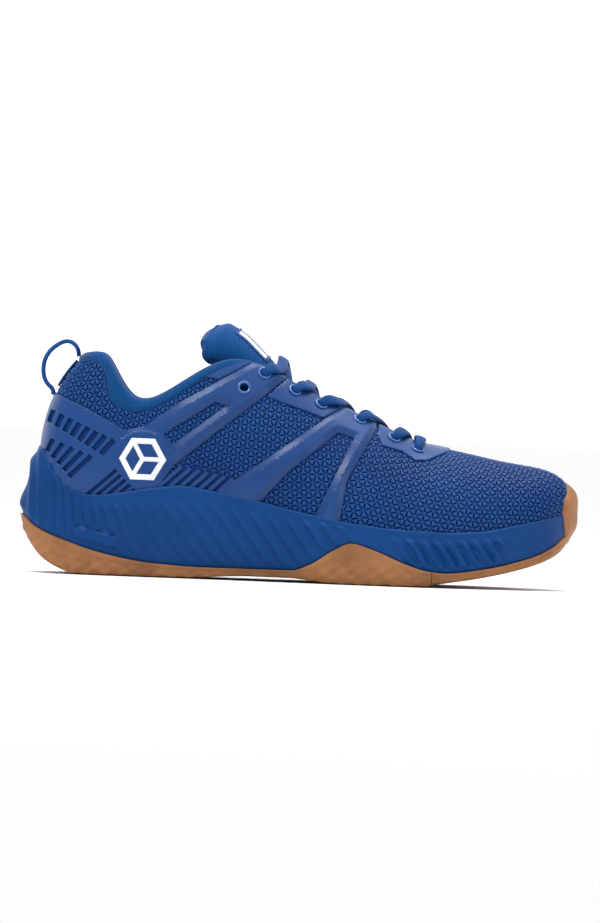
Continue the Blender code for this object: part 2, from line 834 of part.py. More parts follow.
def towards_spine(edge, s, height, shares):
    """Points on the way from an edge point to the centre line, at the heights given by height(x)."""
    spine = spine_point(s, height)
    points = [edge + (spine - edge) * share for share in shares]
    return [np.array([p[0], p[1], height(p[0])]) for p in points] + [spine]


def outsole_floor(s, side):
    """The outsole's upper face from its rim inwards: rim, inner rim and the foot of the inner wall."""
    h = gum_share(s, side)
    rim = wall_point(s, h, side)
    inner = wall_point(s, h, side, -2.6)
    inner[2] -= 0.3
    foot = wall_point(s, h, side, -4.6)
    foot[2] = min(GROUND(foot[0]) + OUTSOLE_THICKNESS, inner[2] - 0.3)
    return rim, inner, foot


def outsole(collection, cutters):
    """The gum outsole in two pieces, the front one with the toe bumper."""

    def profile(s, side):
        rim, inner, foot = outsole_floor(s, side)
        h = gum_share(s, side)
        top = towards_spine(foot, s, lambda x: GROUND(x) + OUTSOLE_THICKNESS, (0.35, 0.7))[::-1]
        wall = [rim, wall_point(s, h * 0.5, side), wall_point(s, 0, side)]
        return top + [foot, inner] + wall + towards_spine(wall[-1], s, GROUND, (0.12, 0.35, 0.7))

    cut_away = {"outsole_rear": (OUTSOLE_SPLIT - 0.2, 400), "outsole_forefoot": (-100, OUTSOLE_SPLIT + 0.2)}
    for name, (x_from, x_to) in cut_away.items():
        piece = fan_solid(name, profile, "gum_rubber", collection)
        box = ((x_from, -20), (x_to, -20), (x_to, 120), (x_from, 120))
        boolean(piece, prism(f"cut_{name}", box, -90, 90, cutters))
    boolean(bpy.data.objects["outsole_forefoot"], toe_bumper(cutters), "UNION")


def toe_bumper(cutters):
    """The rubber that climbs the toe: its inner face clears the midsole, its rim and the upper."""
    outer_grid, inner_grid = [], []
    for s, side in toe_columns(BUMPER_START):
        h = gum_share(s, side)
        rim_t = foam_t(s, side)
        fade = ease(s, BUMPER_START, 1)
        top_t = rim_t + (BUMPER_TOP_T - rim_t) * (0.45 + 0.55 * fade)
        inner = [wall_point(s, h * 0.3, side, -1.2), wall_point(s, h * 0.75, side, -0.5)]
        inner += [wall_point(s, h + (1 - h) * share, side, LAYER_GAP + 0.1) for share in (0, 0.35, 0.7, 1)]
        lift = upper_offset(s, rim_t + 0.025, side, -RIM_GAP - rim_width(s) - LAYER_GAP)
        inner.append(lift)
        inner += [upper_offset(s, t, side, -LAYER_GAP - 0.1) for t in rows_between(rim_t + 0.03, top_t)]
        normal = np.array([*plan_normal(s, side), 0])
        thickness = np.full(len(inner), 3.8) * (0.35 + 0.65 * fade)
        thickness[0], thickness[1], thickness[-1] = 1.4, 2.0 + 1.4 * fade, 1.0 + fade
        inner_grid.append(inner)
        outer_grid.append([p + normal * width for p, width in zip(inner, thickness)])
    made = grid_solid("toe_bumper_cutter", np.array(outer_grid), np.array(inner_grid), "gum_rubber", cutters)
    return as_cutter(made)


def midsole(collection, cutters):
    """The foam cup that holds the upper, with a pocket for the shank."""

    def profile(s, side):
        rim, inner, foot = outsole_floor(s, side)
        h, rim_t = gum_share(s, side), foam_t(s, side)
        up = np.array([0, 0, LAYER_GAP])
        corner = upper_offset(s, 0, side, -RIM_GAP) - (0, 0, BOARD_HALF + LAYER_GAP)
        bed = towards_spine(corner, s, lambda x: FOOTBED(x) - BOARD_HALF - LAYER_GAP, (0.5,))[::-1]
        cup = [upper_offset(s, rim_t * share, side, -RIM_GAP) for share in (0, 0.5, 1)]
        wall = [wall_point(s, h + 0.02 + (0.98 - h) * share, side) for share in (1, 0.66, 0.33, 0)]
        wall[-1][2] = max(wall[-1][2], rim[2] + LAYER_GAP)
        inward = np.array([*plan_normal(s, side), 0]) * -LAYER_GAP
        under = [inner + up + inward, foot + up + inward]
        floor = towards_spine(under[-1], s, lambda x: GROUND(x) + OUTSOLE_THICKNESS + LAYER_GAP, (0.35, 0.7))
        return bed + [corner] + cup + wall + under + floor

    foam = fan_solid("midsole", profile, "midsole_foam", collection)
    boolean(foam, shank_plate("cut_shank_pocket", LAYER_GAP, 6, "board", cutters, True))
    shank_plate("shank_plate", 0, 0, "shank", collection, False)


def shank_plate(name, grow, raise_top, finish, collection, cutter):
    """The stiff plate under the arch, or the pocket for it."""
    along = np.linspace(SHANK_FROM - grow, SHANK_TO + grow, 8)
    x, share = np.meshgrid(along, np.linspace(-1, 1, 5), indexing="ij")
    y = centre_line(x) - 2 + share * (14 + grow)
    top = FOOTBED(x) - BOARD_HALF - 2 * LAYER_GAP + 0.2
    faces = [np.stack([x, y, top + raise_top], axis=-1), np.stack([x, y, top - 1.3 - grow], axis=-1)]
    made = grid_solid(name, *faces, finish, collection)
    return as_cutter(made) if cutter else made


def footbed(collection):
    """The strobel board and the loose insole."""

    def board(s, side):
        edge = upper_offset(s, 0, side, UPPER_THICKNESS + 0.5)
        top, bottom = edge + (0, 0, BOARD_HALF), edge - (0, 0, BOARD_HALF)
        over = towards_spine(top, s, lambda x: FOOTBED(x) + BOARD_HALF, (0.5,))[::-1]
        return over + [top, bottom] + towards_spine(bottom, s, lambda x: FOOTBED(x) - BOARD_HALF, (0.5,))

    fan_solid("strobel_board", board, "board", collection)

    def sockliner(s, side):
        edge = upper_offset(s, 0, side, 5.6)
        low, high = BOARD_HALF + LAYER_GAP + 0.4, BOARD_HALF + 4.4
        top, bottom = edge + (0, 0, high + 0.8), edge + (0, 0, low)
        over = towards_spine(top, s, lambda x: FOOTBED(x) + high, (0.3,))[::-1]
        return over + [top, bottom] + towards_spine(bottom, s, lambda x: FOOTBED(x) + low, (0.3,))

    fan_solid("insole", sockliner, "knit", collection)


# ---------------------------------------------------------------- overlays
def overlay(name, outline, s_range, side, collection, cutters, holes=(), layer=0, thickness=OVERLAY_THICKNESS):
    """A thin welded panel: a patch of skin cut to a side-view outline, with holes cut through it."""
    depth = -LAYER_GAP - layer * (LAYER_GAP + OVERLAY_THICKNESS)

    def rows(s):
        low = foam_t(s, side) + 0.035
        return rows_between(low, band_edge(s) - 0.002)

    if s_range[0] == 0:
        columns = side_columns(0.003, s_range[1], side)
    else:
        columns = side_columns(*s_range, side)
    panel = skin(name, columns, rows, depth - thickness, thickness, "overlay_film", collection)
    boolean(panel, prism(f"outline_{name}", outline, *across(side), cutters), "INTERSECT")
    for number, hole in enumerate(holes):
        boolean(panel, prism(f"hole_{name}_{number}", hole, *across(side), cutters))
    return panel


def cage_slots():
    """Leaning slots in rows on the heel cage."""
    for first, last, count, half_length, half_width, lean in HEEL_CAGE_SLOT_ROWS:
        for share in np.linspace(0, 1, count):
            x = first[0] + (last[0] - first[0]) * share
            z = first[1] + (last[1] - first[1]) * share
            across_x, across_z = half_width, -half_width * lean
            along_x, along_z = half_length * lean, half_length
            yield (
                (x - across_x - along_x, z - across_z - along_z),
                (x + across_x - along_x, z + across_z - along_z),
                (x + across_x + along_x, z + across_z + along_z),
                (x - across_x + along_x, z - across_z + along_z),
            )


def overlays(collection, cutters):
    for side in (LATERAL, MEDIAL):
        name = SIDE_NAMES[side]
        holes = [HEEL_CAGE_WINDOW, *cage_slots()]
        overlay(f"heel_cage_{name}", HEEL_CAGE_OUTLINE, (0, 0.58), side, collection, cutters, holes)
        patch_reach = (0.3, COLLAR_FRONT + 0.04)
        overlay(f"collar_patch_{name}", COLLAR_PATCH_OUTLINE, patch_reach, side, collection, cutters)
        overlay(f"eyestay_panel_{name}", EYESTAY_PANEL_OUTLINE, (0.42, 0.64), side, collection, cutters)
        overlay(f"midfoot_cage_{name}", MIDFOOT_CAGE_OUTLINE, (0.34, 0.75), side, collection, cutters)
    throat_panel(collection, cutters)


def throat_panel(collection, cutters):
    """The panel round the throat's base, over both sides of the vamp."""
    columns = toe_columns(0.6)

    def rows(s):
        return rows_between(0.55, 1)

    depth = -LAYER_GAP - OVERLAY_THICKNESS
    panel = skin("throat_panel", columns, rows, depth, OVERLAY_THICKNESS, "overlay_film", collection)
    boolean(panel, prism("outline_throat_panel", THROAT_PANEL_OUTLINE, -90, 90, cutters), "INTERSECT")


def emblem(collection, cutters):
    """A plain hexagonal badge with three spokes, welded on the lateral heel cage."""

    def polygon(radius, turn, sides, centre=(0, 0)):
        angles = np.radians(turn + np.arange(sides) * 360 / sides)
        x0, z0 = EMBLEM_CENTRE[0] + centre[0], EMBLEM_CENTRE[1] + centre[1]
        return [(x0 + radius * math.cos(a), z0 + radius * math.sin(a)) for a in angles]

    outline, reach = polygon(EMBLEM_RADIUS, 0, 6), (0.05, 0.36)
    plate = overlay("emblem", outline, reach, LATERAL, collection, cutters, layer=1, thickness=0.5)
    plate.data.materials[0] = material("print")
    inner = EMBLEM_RADIUS - EMBLEM_BAND
    for number in range(3):
        turn = math.radians(120 * number + 60)
        middle = (inner * 0.5 * math.cos(turn), inner * 0.5 * math.sin(turn))
        rhombus = polygon(inner * 0.40, 60, 6, middle)
        boolean(plate, prism(f"hole_emblem_{number}", rhombus, *across(LATERAL), cutters))


def back_stay(collection):
    """The webbing strip up the middle of the heel, between the pull loop's two sewn ends."""
    half = BACK_STAY_HALF_WIDTH / 250  # as a share of the heel's column spacing
    columns = [(half, LATERAL), (0, LATERAL), (half, MEDIAL)]
    rows = rows_between(0.72, 0.93)
    skin("back_stay", columns, lambda s: rows, -LAYER_GAP - 0.9, 0.9, "webbing", collection)


# ---------------------------------------------------------------- eyelets and lace
def eyelets(collection, cutters):
    """Seven moulded rings a side, each in a hole through the panel, the mesh and the lining."""
    inner_end = UPPER_THICKNESS + LAYER_GAP + LINING_THICKNESS + 0.9
    outer_end = LAYER_GAP + OVERLAY_THICKNESS + 0.3
    for side in (LATERAL, MEDIAL):
        name = SIDE_NAMES[side]
        for index in range(len(EYELETS)):
            centre, normal = eyelet_frame(index, side)
            profile = (
                (EYELET_BORE, -inner_end),
                (EYELET_BARREL, -inner_end),
                (EYELET_BARREL, outer_end),
                (EYELET_FLANGE, outer_end),
                (EYELET_FLANGE - 0.3, outer_end + 0.8),
                (EYELET_BORE, outer_end + 0.8),
            )
            turned(f"eyelet_{name}_{index + 1}", profile, centre, normal, "eyelet_finish", collection)
            hole = rod(f"hole_eyelet_{name}_{index + 1}", centre, normal, EYELET_BARREL + 0.5, 16, cutters)
            for piece in eyelet_hosts(index, side):
                boolean(bpy.data.objects[piece], hole)


def eyelet_hosts(index, side):
    """Names of the pieces that an eyelet goes through."""
    name = SIDE_NAMES[side]
    panels = ("heel_cage", "heel_cage", "eyestay_panel", "eyestay_panel", "midfoot_cage")
    if index < len(panels):
        hosts = [f"{panels[index]}_{name}"]
    else:
        hosts = ["throat_panel"]
    hosts += ["upper", "lining"]
    if index < 2:
        hosts.append("collar_lining")
    return hosts


def turned(name, profile, centre, normal, finish, collection):
    """A closed ring: a section of (radius, height) points turned about the normal."""
    axis = Vector(normal).normalized()
    first = axis.orthogonal().normalized()
    second = axis.cross(first)
    rings = []
    for step in range(10):
        angle = step * math.tau / 10
        radial = first * math.cos(angle) + second * math.sin(angle)
        rings.append([np.array(centre) + np.array(radial) * r + np.array(axis) * h for r, h in profile])
    points = np.array(rings)
    faces = grid_faces(*points.shape[:2], wrap_rows=True, wrap_columns=True)
    return add_object(name, points.reshape(-1, 3), faces, finish, collection)


# ---------------------------------------------------------------- tongue
def tongue_point(u, arc, depth):
    """The tongue's outer face at u (0 base, 1 top) and `arc` mm round from the ridge, `depth` mm in."""
    knots = np.linspace(0, 1, len(TONGUE_RIDGE))
    ridge = np.array(TONGUE_RIDGE)
    x, z, radius = (smooth(knots, v) for v in (ridge[:, 0], ridge[:, 1], TONGUE_ARCH_RADIUS))
    along = np.array([x(u + 0.01) - x(u - 0.01), z(u + 0.01) - z(u - 0.01)])
    if u > 0.99 or u < 0.01:
        inner = min(max(u, 0.01), 0.99)
        along = np.array([x(inner + 0.01) - x(inner - 0.01), z(inner + 0.01) - z(inner - 0.01)])
    along /= np.linalg.norm(along)
    outward = np.array([along[1], -along[0]])
    bend = radius(u)
    angle = arc / bend
    across_y = (bend - depth) * math.sin(angle)
    drop = bend - (bend - depth) * math.cos(angle)
    place = np.array([x(u), z(u)]) - outward * drop
    return np.array([place[0], centre_line(x(u)) + across_y, place[1]])


def tongue_layer(name, near, far, inset, finish, collection):
    """One layer of the tongue between the depths near(u) and far(u), its edge `inset` cells inside the
    tongue's own. All layers share their cells."""
    half_arc = smooth(np.linspace(0, 1, len(TONGUE_HALF_ARC)), TONGUE_HALF_ARC)
    outer, inner = [], []
    for u in np.linspace(0, 1, 12)[inset : 12 - inset]:
        half = half_arc(u) * (1 - 0.28 * ease(u, 0.9, 1.0))
        arcs = np.linspace(-half, half, 11)[inset : 11 - inset]
        outer.append([tongue_point(u, arc, near(u)) for arc in arcs])
        inner.append([tongue_point(u, arc, far(u)) for arc in arcs])
    return grid_solid(name, np.array(outer), np.array(inner), finish, collection)


def tongue(collection):
    def total(u):
        return 4.4 + (TONGUE_TOTAL - 4.4) * ease(u, 0.15, 0.6)

    tongue_layer("tongue_shell", lambda u: 0, lambda u: 1.0, 0, "knit", collection)
    tongue_layer("tongue_foam", lambda u: 1.5, lambda u: total(u) - 1.3, 1, "foam", collection)
    tongue_layer("tongue_lining", lambda u: total(u) - 0.8, total, 0, "knit", collection)
    outer, inner = [], []
    for u in np.linspace(0.865, 0.955, 4):
        arcs = np.linspace(-13, 13, 7)
        outer.append([tongue_point(u, arc, -0.9) for arc in arcs])
        inner.append([tongue_point(u, arc, -0.35) for arc in arcs])
    grid_solid("tongue_label", np.array(outer), np.array(inner), "print", collection)


# ---------------------------------------------------------------- pull loop
def pull_loop(collection):
    """The webbing loop at the heel, hung between its two sewn ends."""
    knots = np.linspace(0, 1, len(LOOP_PATH))
    x, z = (smooth(knots, values) for values in np.array(LOOP_PATH, float).T)
    rings = []
    for u in np.linspace(0, 1, 15):
        inner_u = min(max(u, 0.01), 0.99)
        along = np.array([x(inner_u + 0.01) - x(inner_u - 0.01), z(inner_u + 0.01) - z(inner_u - 0.01)])
        along /= np.linalg.norm(along)
        normal = np.array([along[1], -along[0]]) * LOOP_THICKNESS / 2
        half = LOOP_WIDTH / 2
        corners = ((1, -half), (1, half), (-1, half), (-1, -half))
        rings.append([(x(u) + normal[0] * k, y, z(u) + normal[1] * k) for k, y in corners])
    tube_solid("pull_loop", rings, "webbing", collection)


# ---------------------------------------------------------------- lace
def tongue_height(x, y):
    """Z of the tongue's outer face at a place in plan."""
    knots = np.linspace(0, 1, 81)
    half_arc = smooth(np.linspace(0, 1, len(TONGUE_HALF_ARC)), TONGUE_HALF_ARC)
    shares = np.linspace(-1, 1, 21)
    points = np.array([tongue_point(u, share * half_arc(u), 0) for u in knots for share in shares])
    return points[np.argmin((points[:, 0] - x) ** 2 + (points[:, 1] - y) ** 2)][2]


def edge_share(x):
    """s where the throat's edge passes x."""
    s = np.linspace(COLLAR_FRONT - 0.1, THROAT_BASE, 200)
    return float(np.interp(x, RAILS[3]["x"](s), s))


def hole_stations(index, side, outwards):
    """The lace's way through one eyelet: places, surface normals and how round the lace is."""
    centre, normal = eyelet_frame(index, side)
    heights = (-3.0, 0.0, 2.4)
    stations = [(centre + normal * h, normal, 1.0) for h in heights]
    return stations if outwards else stations[::-1]


def lean_out(index, side, height, towards):
    """A place near an eyelet, at a height on its normal and moved towards a point."""
    centre, normal = eyelet_frame(index, side)
    aim = towards - centre
    aim -= normal * np.dot(aim, normal)
    aim /= np.linalg.norm(aim)
    return centre + normal * height + aim * EYELET_FLANGE * 0.9, normal


def crossing(index, side, level):
    """A strand from above eyelet `index` over the tongue to below the next eyelet forward on the other
    side. level 0 passes under the other strand and level 1 over it."""
    start, start_normal = eyelet_frame(index, side)
    end, end_normal = eyelet_frame(index + 1, -side)
    stations = []
    place, normal = lean_out(index, side, 4.0, end)
    stations.append((place, normal, 0.5))
    s_over = edge_share(start[0] * 0.8 + end[0] * 0.2)
    over = upper_offset(s_over, 1, side, -LAYER_GAP - OVERLAY_THICKNESS - LACE_THICKNESS - 0.7)
    stations.append((over, upper_offset(s_over, 1, side, -1) - upper_offset(s_over, 1, side, 0), 0))
    middle = (start + end) / 2
    middle[1] = centre_line(middle[0])
    middle[2] = tongue_height(middle[0], middle[1]) + 1.2 + LACE_THICKNESS * (0.7 + 1.5 * level)
    stations.append((middle, np.array([0.5, 0, 0.87]), 0))
    s_under = edge_share(start[0] * 0.25 + end[0] * 0.75)
    under = upper_offset(s_under, 1, -side, lining_depth(s_under, 1) + LINING_THICKNESS + LACE_THICKNESS)
    stations.append((under, upper_offset(s_under, 1, -side, -1) - upper_offset(s_under, 1, -side, 0), 0.1))
    place, normal = lean_out(index + 1, -side, -5.4, start)
    stations.append((place, normal, 0.5))
    return stations


def lace_end(side):
    """The lace's free end: from the second eyelet's inner face back and down along the lining."""
    s, t = locate(*EYELETS[1], side)
    stations = []
    for share in np.linspace(1, 0.12, 6):
        s_here, t_here = s - 0.075 * share, t - 0.42 * share
        depth = lining_depth(s_here, t_here) + LINING_THICKNESS + 2.2 + 1.6 * share
        here = upper_offset(s_here, t_here, side, depth)
        stations.append((here, upper_normal(s_here, t_here, side), 0.3))
    return stations


def lace_stations():
    """The whole lace, from the lateral tucked end through every used eyelet to the medial tucked end."""
    last = len(EYELETS) - 1
    forward, side = lace_end(LATERAL), LATERAL
    for index in range(1, last):
        forward += hole_stations(index, side, True) + crossing(index, side, index % 2)
        side = -side
    forward += hole_stations(last, side, True)
    backward, side = lace_end(MEDIAL), MEDIAL
    for index in range(1, last):
        backward += hole_stations(index, side, True) + crossing(index, side, 1 - index % 2)
        side = -side
    backward += hole_stations(last, side, True)
    bar = []
    for end in (-side, side):
        towards = eyelet_frame(last, -end)[0]
        place, normal = lean_out(last, end, 4.0, towards)
        bar.append((place, normal, 0.5))
    middle = (bar[0][0] + bar[1][0]) / 2 + (0, 0, 1.5)
    bar.insert(1, (middle, np.array([0.3, 0, 0.95]), 0))
    return forward + bar + backward[::-1]


def lace(collection):
    stations = lace_stations()
    knots = np.arange(len(stations))
    dense = np.linspace(0, len(stations) - 1, 3 * len(stations) // 2)
    places = np.array([station[0] for station in stations])
    normals = np.array([station[1] / np.linalg.norm(station[1]) for station in stations])
    roundness = np.interp(dense, knots, [station[2] for station in stations])
    path = np.stack([smooth(knots, places[:, axis])(dense) for axis in range(3)], axis=-1)
    ups = np.stack([np.interp(dense, knots, normals[:, axis]) for axis in range(3)], axis=-1)
    along = np.gradient(path, axis=0)
    along /= np.linalg.norm(along, axis=1, keepdims=True)
    sideways = np.cross(along, ups)
    for number in range(1, len(sideways)):
        if np.dot(sideways[number], sideways[number - 1]) < 0:
            sideways[number] *= -1
    rings = []
    last_across = sideways[0] / np.linalg.norm(sideways[0])
    for place, forward, across_way, round_share in zip(path, along, sideways, roundness):
        length = np.linalg.norm(across_way)
        blend = last_across * 0.5 + across_way / max(length, 1e-6) * min(1.0, 3 * length)
        blend -= forward * np.dot(blend, forward)
        blend /= np.linalg.norm(blend)
        last_across = blend
        up = np.cross(blend, forward)
        half_width = (LACE_WIDTH * (1 - round_share) + LACE_ROUND * round_share) / 2
        half_height = (LACE_THICKNESS * (1 - round_share) + LACE_ROUND * round_share) / 2
        ring = []
        for angle in np.radians((30, 150, 210, 330)):
            ring.append(place + blend * half_width * math.cos(angle) + up * half_height * math.sin(angle))
        rings.append(ring)
    tube_solid("lace", rings, "webbing", collection)
    for side in (LATERAL, MEDIAL):
        aglet(side, collection)


def aglet(side, collection):
    """The hard tip of one lace end."""
    near, after = lace_end(side)[0], lace_end(side)[1]
    away = near[0] - after[0]
    away /= np.linalg.norm(away)
    profile = ((0.3, 0.5), (1.6, 0.5), (1.6, 18), (1.1, 19), (0.3, 19))
    turned(f"aglet_{SIDE_NAMES[side]}", profile, near[0], away, "stiffener", collection)


def main():
    for obj in list(bpy.data.objects):
        bpy.data.objects.remove(obj, do_unlink=True)
    parts = bpy.data.collections.new("court_shoe")
    cutters = bpy.data.collections.new("cutters")
    for made in (parts, cutters):
        bpy.context.scene.collection.children.link(made)
    outsole(parts, cutters)
    midsole(parts, cutters)
    footbed(parts)
    upper(parts)
    inner_layers(parts)
    collar(parts)
    overlays(parts, cutters)
    emblem(parts, cutters)
    back_stay(parts)
    eyelets(parts, cutters)
    tongue(parts)
    pull_loop(parts)
    lace(parts)


main()
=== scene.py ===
"""Looks of the court shoe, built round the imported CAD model.

Design sizes are in millimetres, as in the CAD model: X runs from the back of the heel to the toe, lateral is
-Y, medial is +Y and Z is up from the floor. `world` turns them into the frame's metres.

The upper is one lasted surface, `upper_point(s, t, side)`. `Chart` lays it out flat, so that the raised
lattice and the welded panels are drawn in true millimetres and then carried back on to the shoe.
"""
import math

import bmesh
import bpy
import numpy as np
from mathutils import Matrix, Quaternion, Vector
from mathutils.bvhtree import BVHTree
from mathutils.geometry import delaunay_2d_cdt

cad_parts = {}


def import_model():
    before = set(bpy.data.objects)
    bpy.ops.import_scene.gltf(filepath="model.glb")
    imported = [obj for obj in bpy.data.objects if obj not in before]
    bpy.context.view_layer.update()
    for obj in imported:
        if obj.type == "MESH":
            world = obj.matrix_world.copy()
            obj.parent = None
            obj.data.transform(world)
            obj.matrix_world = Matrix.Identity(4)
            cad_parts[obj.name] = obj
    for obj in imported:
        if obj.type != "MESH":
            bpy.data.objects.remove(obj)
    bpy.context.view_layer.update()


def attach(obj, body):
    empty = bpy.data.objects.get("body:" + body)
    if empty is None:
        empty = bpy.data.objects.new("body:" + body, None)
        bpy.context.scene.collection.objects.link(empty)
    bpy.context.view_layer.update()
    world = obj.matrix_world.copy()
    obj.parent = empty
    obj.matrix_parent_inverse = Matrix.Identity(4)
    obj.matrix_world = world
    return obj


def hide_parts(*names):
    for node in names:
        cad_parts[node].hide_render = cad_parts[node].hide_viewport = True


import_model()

# ---------------------------------------------------------------- driving dimensions, mm
LENGTH = 295.0
CENTRE_Y = 2.0
TOE_SWING = 8.0
LAYER_GAP = 0.35
UPPER_THICKNESS = 1.2
LINING_THICKNESS = 0.9
COLLAR_PAD = 8.0
PANEL_TOP = 1.35  # height of a welded panel above the lasted surface
LATTICE_SIDE = 4.7  # side of one raised triangle
LATERAL, MEDIAL = -1, 1
SIDE_NAMES = {LATERAL: "lateral", MEDIAL: "medial"}
SIDES = (LATERAL, MEDIAL)

LACE_WIDTH, LACE_THICKNESS = 6.4, 2.2
LACE_BUNCHED, LACE_BUNCHED_THICKNESS = 4.3, 3.0  # width and thickness where it passes an eyelet
LACE_STEP, LACE_RIB, LACE_RIB_PITCH = 0.42, 0.05, 1.26
LOOP_WIDTH = 9.0
LOOP_THICKNESS = 2.3
BACK_STAY_HALF_WIDTH, BACK_STAY_THICKNESS = 4.5, 1.5
BACK_STAY_T, BACK_STAY_HEIGHT = (0.76, 0.955), 1.25
INSOLE_TOP, INSOLE_UNDER = 5.0, 1.2  # heights above the footbed
OUTSOLE_SPLIT = 218.5
RIM_GAP = 0.6
BUMPER_START = 25.0 / 26
BUMPER_TOP_T = 0.56
LINING_TOP_T = 0.6
SPINE_REAR, SPINE_FRONT = 48, 258  # x of the centre line that the sole's inner rows run in to
STRAP_SLOPE, STRAP_BEVEL = 0.42, 3.5
STRAP_CREASE, PANEL_CREASE = 14, 24  # degrees past which an edge of a strap or of a plain panel is sharp
STRAP_START, BEVEL_START = (68, 84), 74  # x where the straps' slope fades in, and where their bevels begin
PANEL_RING, PANEL_SHOULDER = 0.3, 0.28
EYELET_BORE, EYELET_TAIL, EYELET_TAIL_RADIUS = 2.2, -2.8, 2.75
EYELET_LIP, EYELET_LIP_WIDTH, EYELET_LIP_RISE = 2.95, 0.72, 0.62  # radius, half width and height of the lip
BORE_RADIUS, BORE_LENGTH = 0.0026, 0.016  # metres, of the holes cut for the eyelets
EYELET_RISE = STRAP_SLOPE * 3.0  # how far the strap's slope lifts the eyelets that go through it
CAPSULE_CENTRE, CAPSULE_HALF_LENGTH, CAPSULE_RADIUS = (40.5, 19.6), 9.2, 3.4
CAPSULE_TILT, CAPSULE_RISE = math.radians(-13), 1.5
FLUTE_LEAN = 0.72
FLUTE_PITCH = ((-20, 4.6), (30, 5.4), (60, 7.6), (110, 9.0), (180, 8.6), (215, 7.0), (320, 6.6))
FLUTE_HEIGHT, WAVE_HEIGHT = 1.9, 2.6
BUMPER_SMOOTHING = 14
GUM_FACET, GUM_RELIEF = 11.0, 0.36
SCALLOP_PITCH, SCALLOP_HEIGHT = 9.0, 0.8  # the gum's lower edge
TREAD_GROOVE, TREAD_STEP, TREAD_PITCH = 2.0, 1.5, 7.2

# The raised lattice: heights of a cell's points above the lasted surface.
CORNER_HEIGHT, GROOVE_HEIGHT, SHOULDER_HEIGHT, RIM_HEIGHT, PEAK_HEIGHT = 0.05, -0.7, 0.2, 0.42, 0.6
DASH_START, DASH_HEIGHT = 0.18, -0.12  # where along its edge a groove begins, and its height there
SHOULDER_SHARE, RIM_SHARE = 0.30, 0.48
LATTICE_REACH = 200  # cells each way from the layout's origin, before those off the shoe are left out
SUNK_HEIGHT = -0.3  # height of the plain film under the heel cage's slots and the arch's ribs
HEEL_CAGE_SUNK_X = 60  # the film is plain under the heel cage behind this x
ARCH_ZONE = ((70, 44), (82.5, 58.4), (90, 58.6), (114, 53.6), (118, 46), (100, 42))
BAND_EDGE = (  # t where the mesh ends and the knit collar band begins, along s
    (0, 0.965), (0.09, 0.975), (0.145, 0.965), (0.162, 0.92), (0.176, 0.835), (0.19, 0.825),
    (0.208, 0.865), (0.228, 0.91), (0.255, 0.945), (0.31, 0.955), (0.355, 0.965), (0.42, 0.975),
    (0.46, 1.0), (1, 1.0),
)
EMBLEM_OPENING = 0.74  # size of each opening of the badge against the space between its spokes

# Rails of the lasted surface, heel centre to toe centre: x, lateral half width, medial half width, z.
FEATHER_RAIL = (
    (15, 0, 0, 28), (20, 19, 19, 28), (37, 30, 29, 27.5), (58, 33, 31, 27), (82, 33, 29, 26),
    (106, 34, 28, 24.5), (131, 37, 30, 22), (156, 42, 36, 19.5), (182, 47, 43, 18),
    (207, 48, 45, 18), (232, 44, 43, 19.5), (256, 35, 36, 23.5), (274.5, 24, 26, 28),
    (284, 0, 0, 30.5),
)
LOWER_WALL_RAIL = (
    (4, 0, 0, 62), (12, 24, 24, 60), (34, 35, 34, 56), (58, 38, 36.5, 52), (82, 39, 37, 54),
    (106, 41, 37, 54), (131, 46, 40, 50), (156, 52, 46, 46), (184, 56, 53, 42), (210, 57, 55, 40),
    (236, 53, 53, 40), (262, 44, 46, 42), (285.5, 31, 34, 48), (299, 0, 0, 53),
)
UPPER_WALL_RAIL = (
    (10, 0, 0, 95), (15, 21, 21, 94), (35, 30, 30, 88), (57, 33, 32, 74), (81, 36, 35, 80),
    (104, 36, 35, 92), (128, 38, 37, 97), (153, 38, 37, 87), (180, 36, 36, 78), (206, 33, 34, 70.5),
    (228, 28, 30, 70.5), (250, 24, 26, 67.5), (274, 17, 19, 64.5), (289, 0, 0, 63),
)
TOP_RAIL = (
    (30, 0, 0, 114.5), (33, 17, 17, 115), (43, 26, 26, 110), (58, 30, 30, 90.8), (80, 31, 31, 98),
    (104, 28, 28, 112.5), (126, 22, 22, 112.5), (152, 18, 18, 99), (180, 14, 14, 87.5),
    (204, 8, 8, 77.2), (220, 0, 0, 73.2), (238, 0, 0, 70), (255, 0, 0, 66.8), (268, 0, 0, 65),
)
STATIONS = len(TOP_RAIL) - 1
THROAT_BASE = 10 / STATIONS  # s where the throat closes and the vamp's ridge begins
COLLAR_FRONT = 6 / STATIONS  # s where the collar ends at the top eyelet

# Sole outline in plan, heel centre to toe centre: x, lateral half width, medial half width.
SOLE_PLAN = (
    (0, 0, 0), (5, 18, 17.5), (20, 31.5, 30.5), (45, 38, 37), (80, 38.5, 34.5), (115, 39, 32),
    (145, 44, 35), (175, 51, 43), (200, 54, 49), (225, 51, 49), (250, 43, 43.5), (270, 33.5, 36),
    (284.5, 20.5, 22), (291, 0, 0),
)
# Side-view curves of the sole: x, z.
GROUND_CURVE = (
    (0, 29.5), (1.1, 23.8), (3.3, 18.7), (7, 13), (12.4, 7.4), (20, 3), (30, 0), (84, 0),
    (122, 1.9), (142, 1.9), (168, 0), (212, 0), (224, 1.8), (245, 5.4), (271, 12.3), (284, 18.2),
    (291, 25),
)
GUM_CURVE_LATERAL = (
    (0, 30.5), (7.7, 24), (25, 17), (46, 11), (69, 7.2), (99, 5.8), (144, 6), (154, 9.4),
    (166, 17.3), (175.5, 21.5), (185, 19.2), (204, 11.7), (214, 8.6), (225, 7.4), (244, 9.8),
    (271, 17), (283, 23.2), (291, 31),
)
GUM_CURVE_MEDIAL = (
    (0, 30.5), (7.7, 24), (25, 17), (46, 11), (69, 7.2), (99, 5.8), (150, 6), (170, 11),
    (185, 14.5), (200, 11.5), (214, 8.6), (225, 7.4), (244, 9.8), (271, 17), (283, 23.2), (291, 31),
)
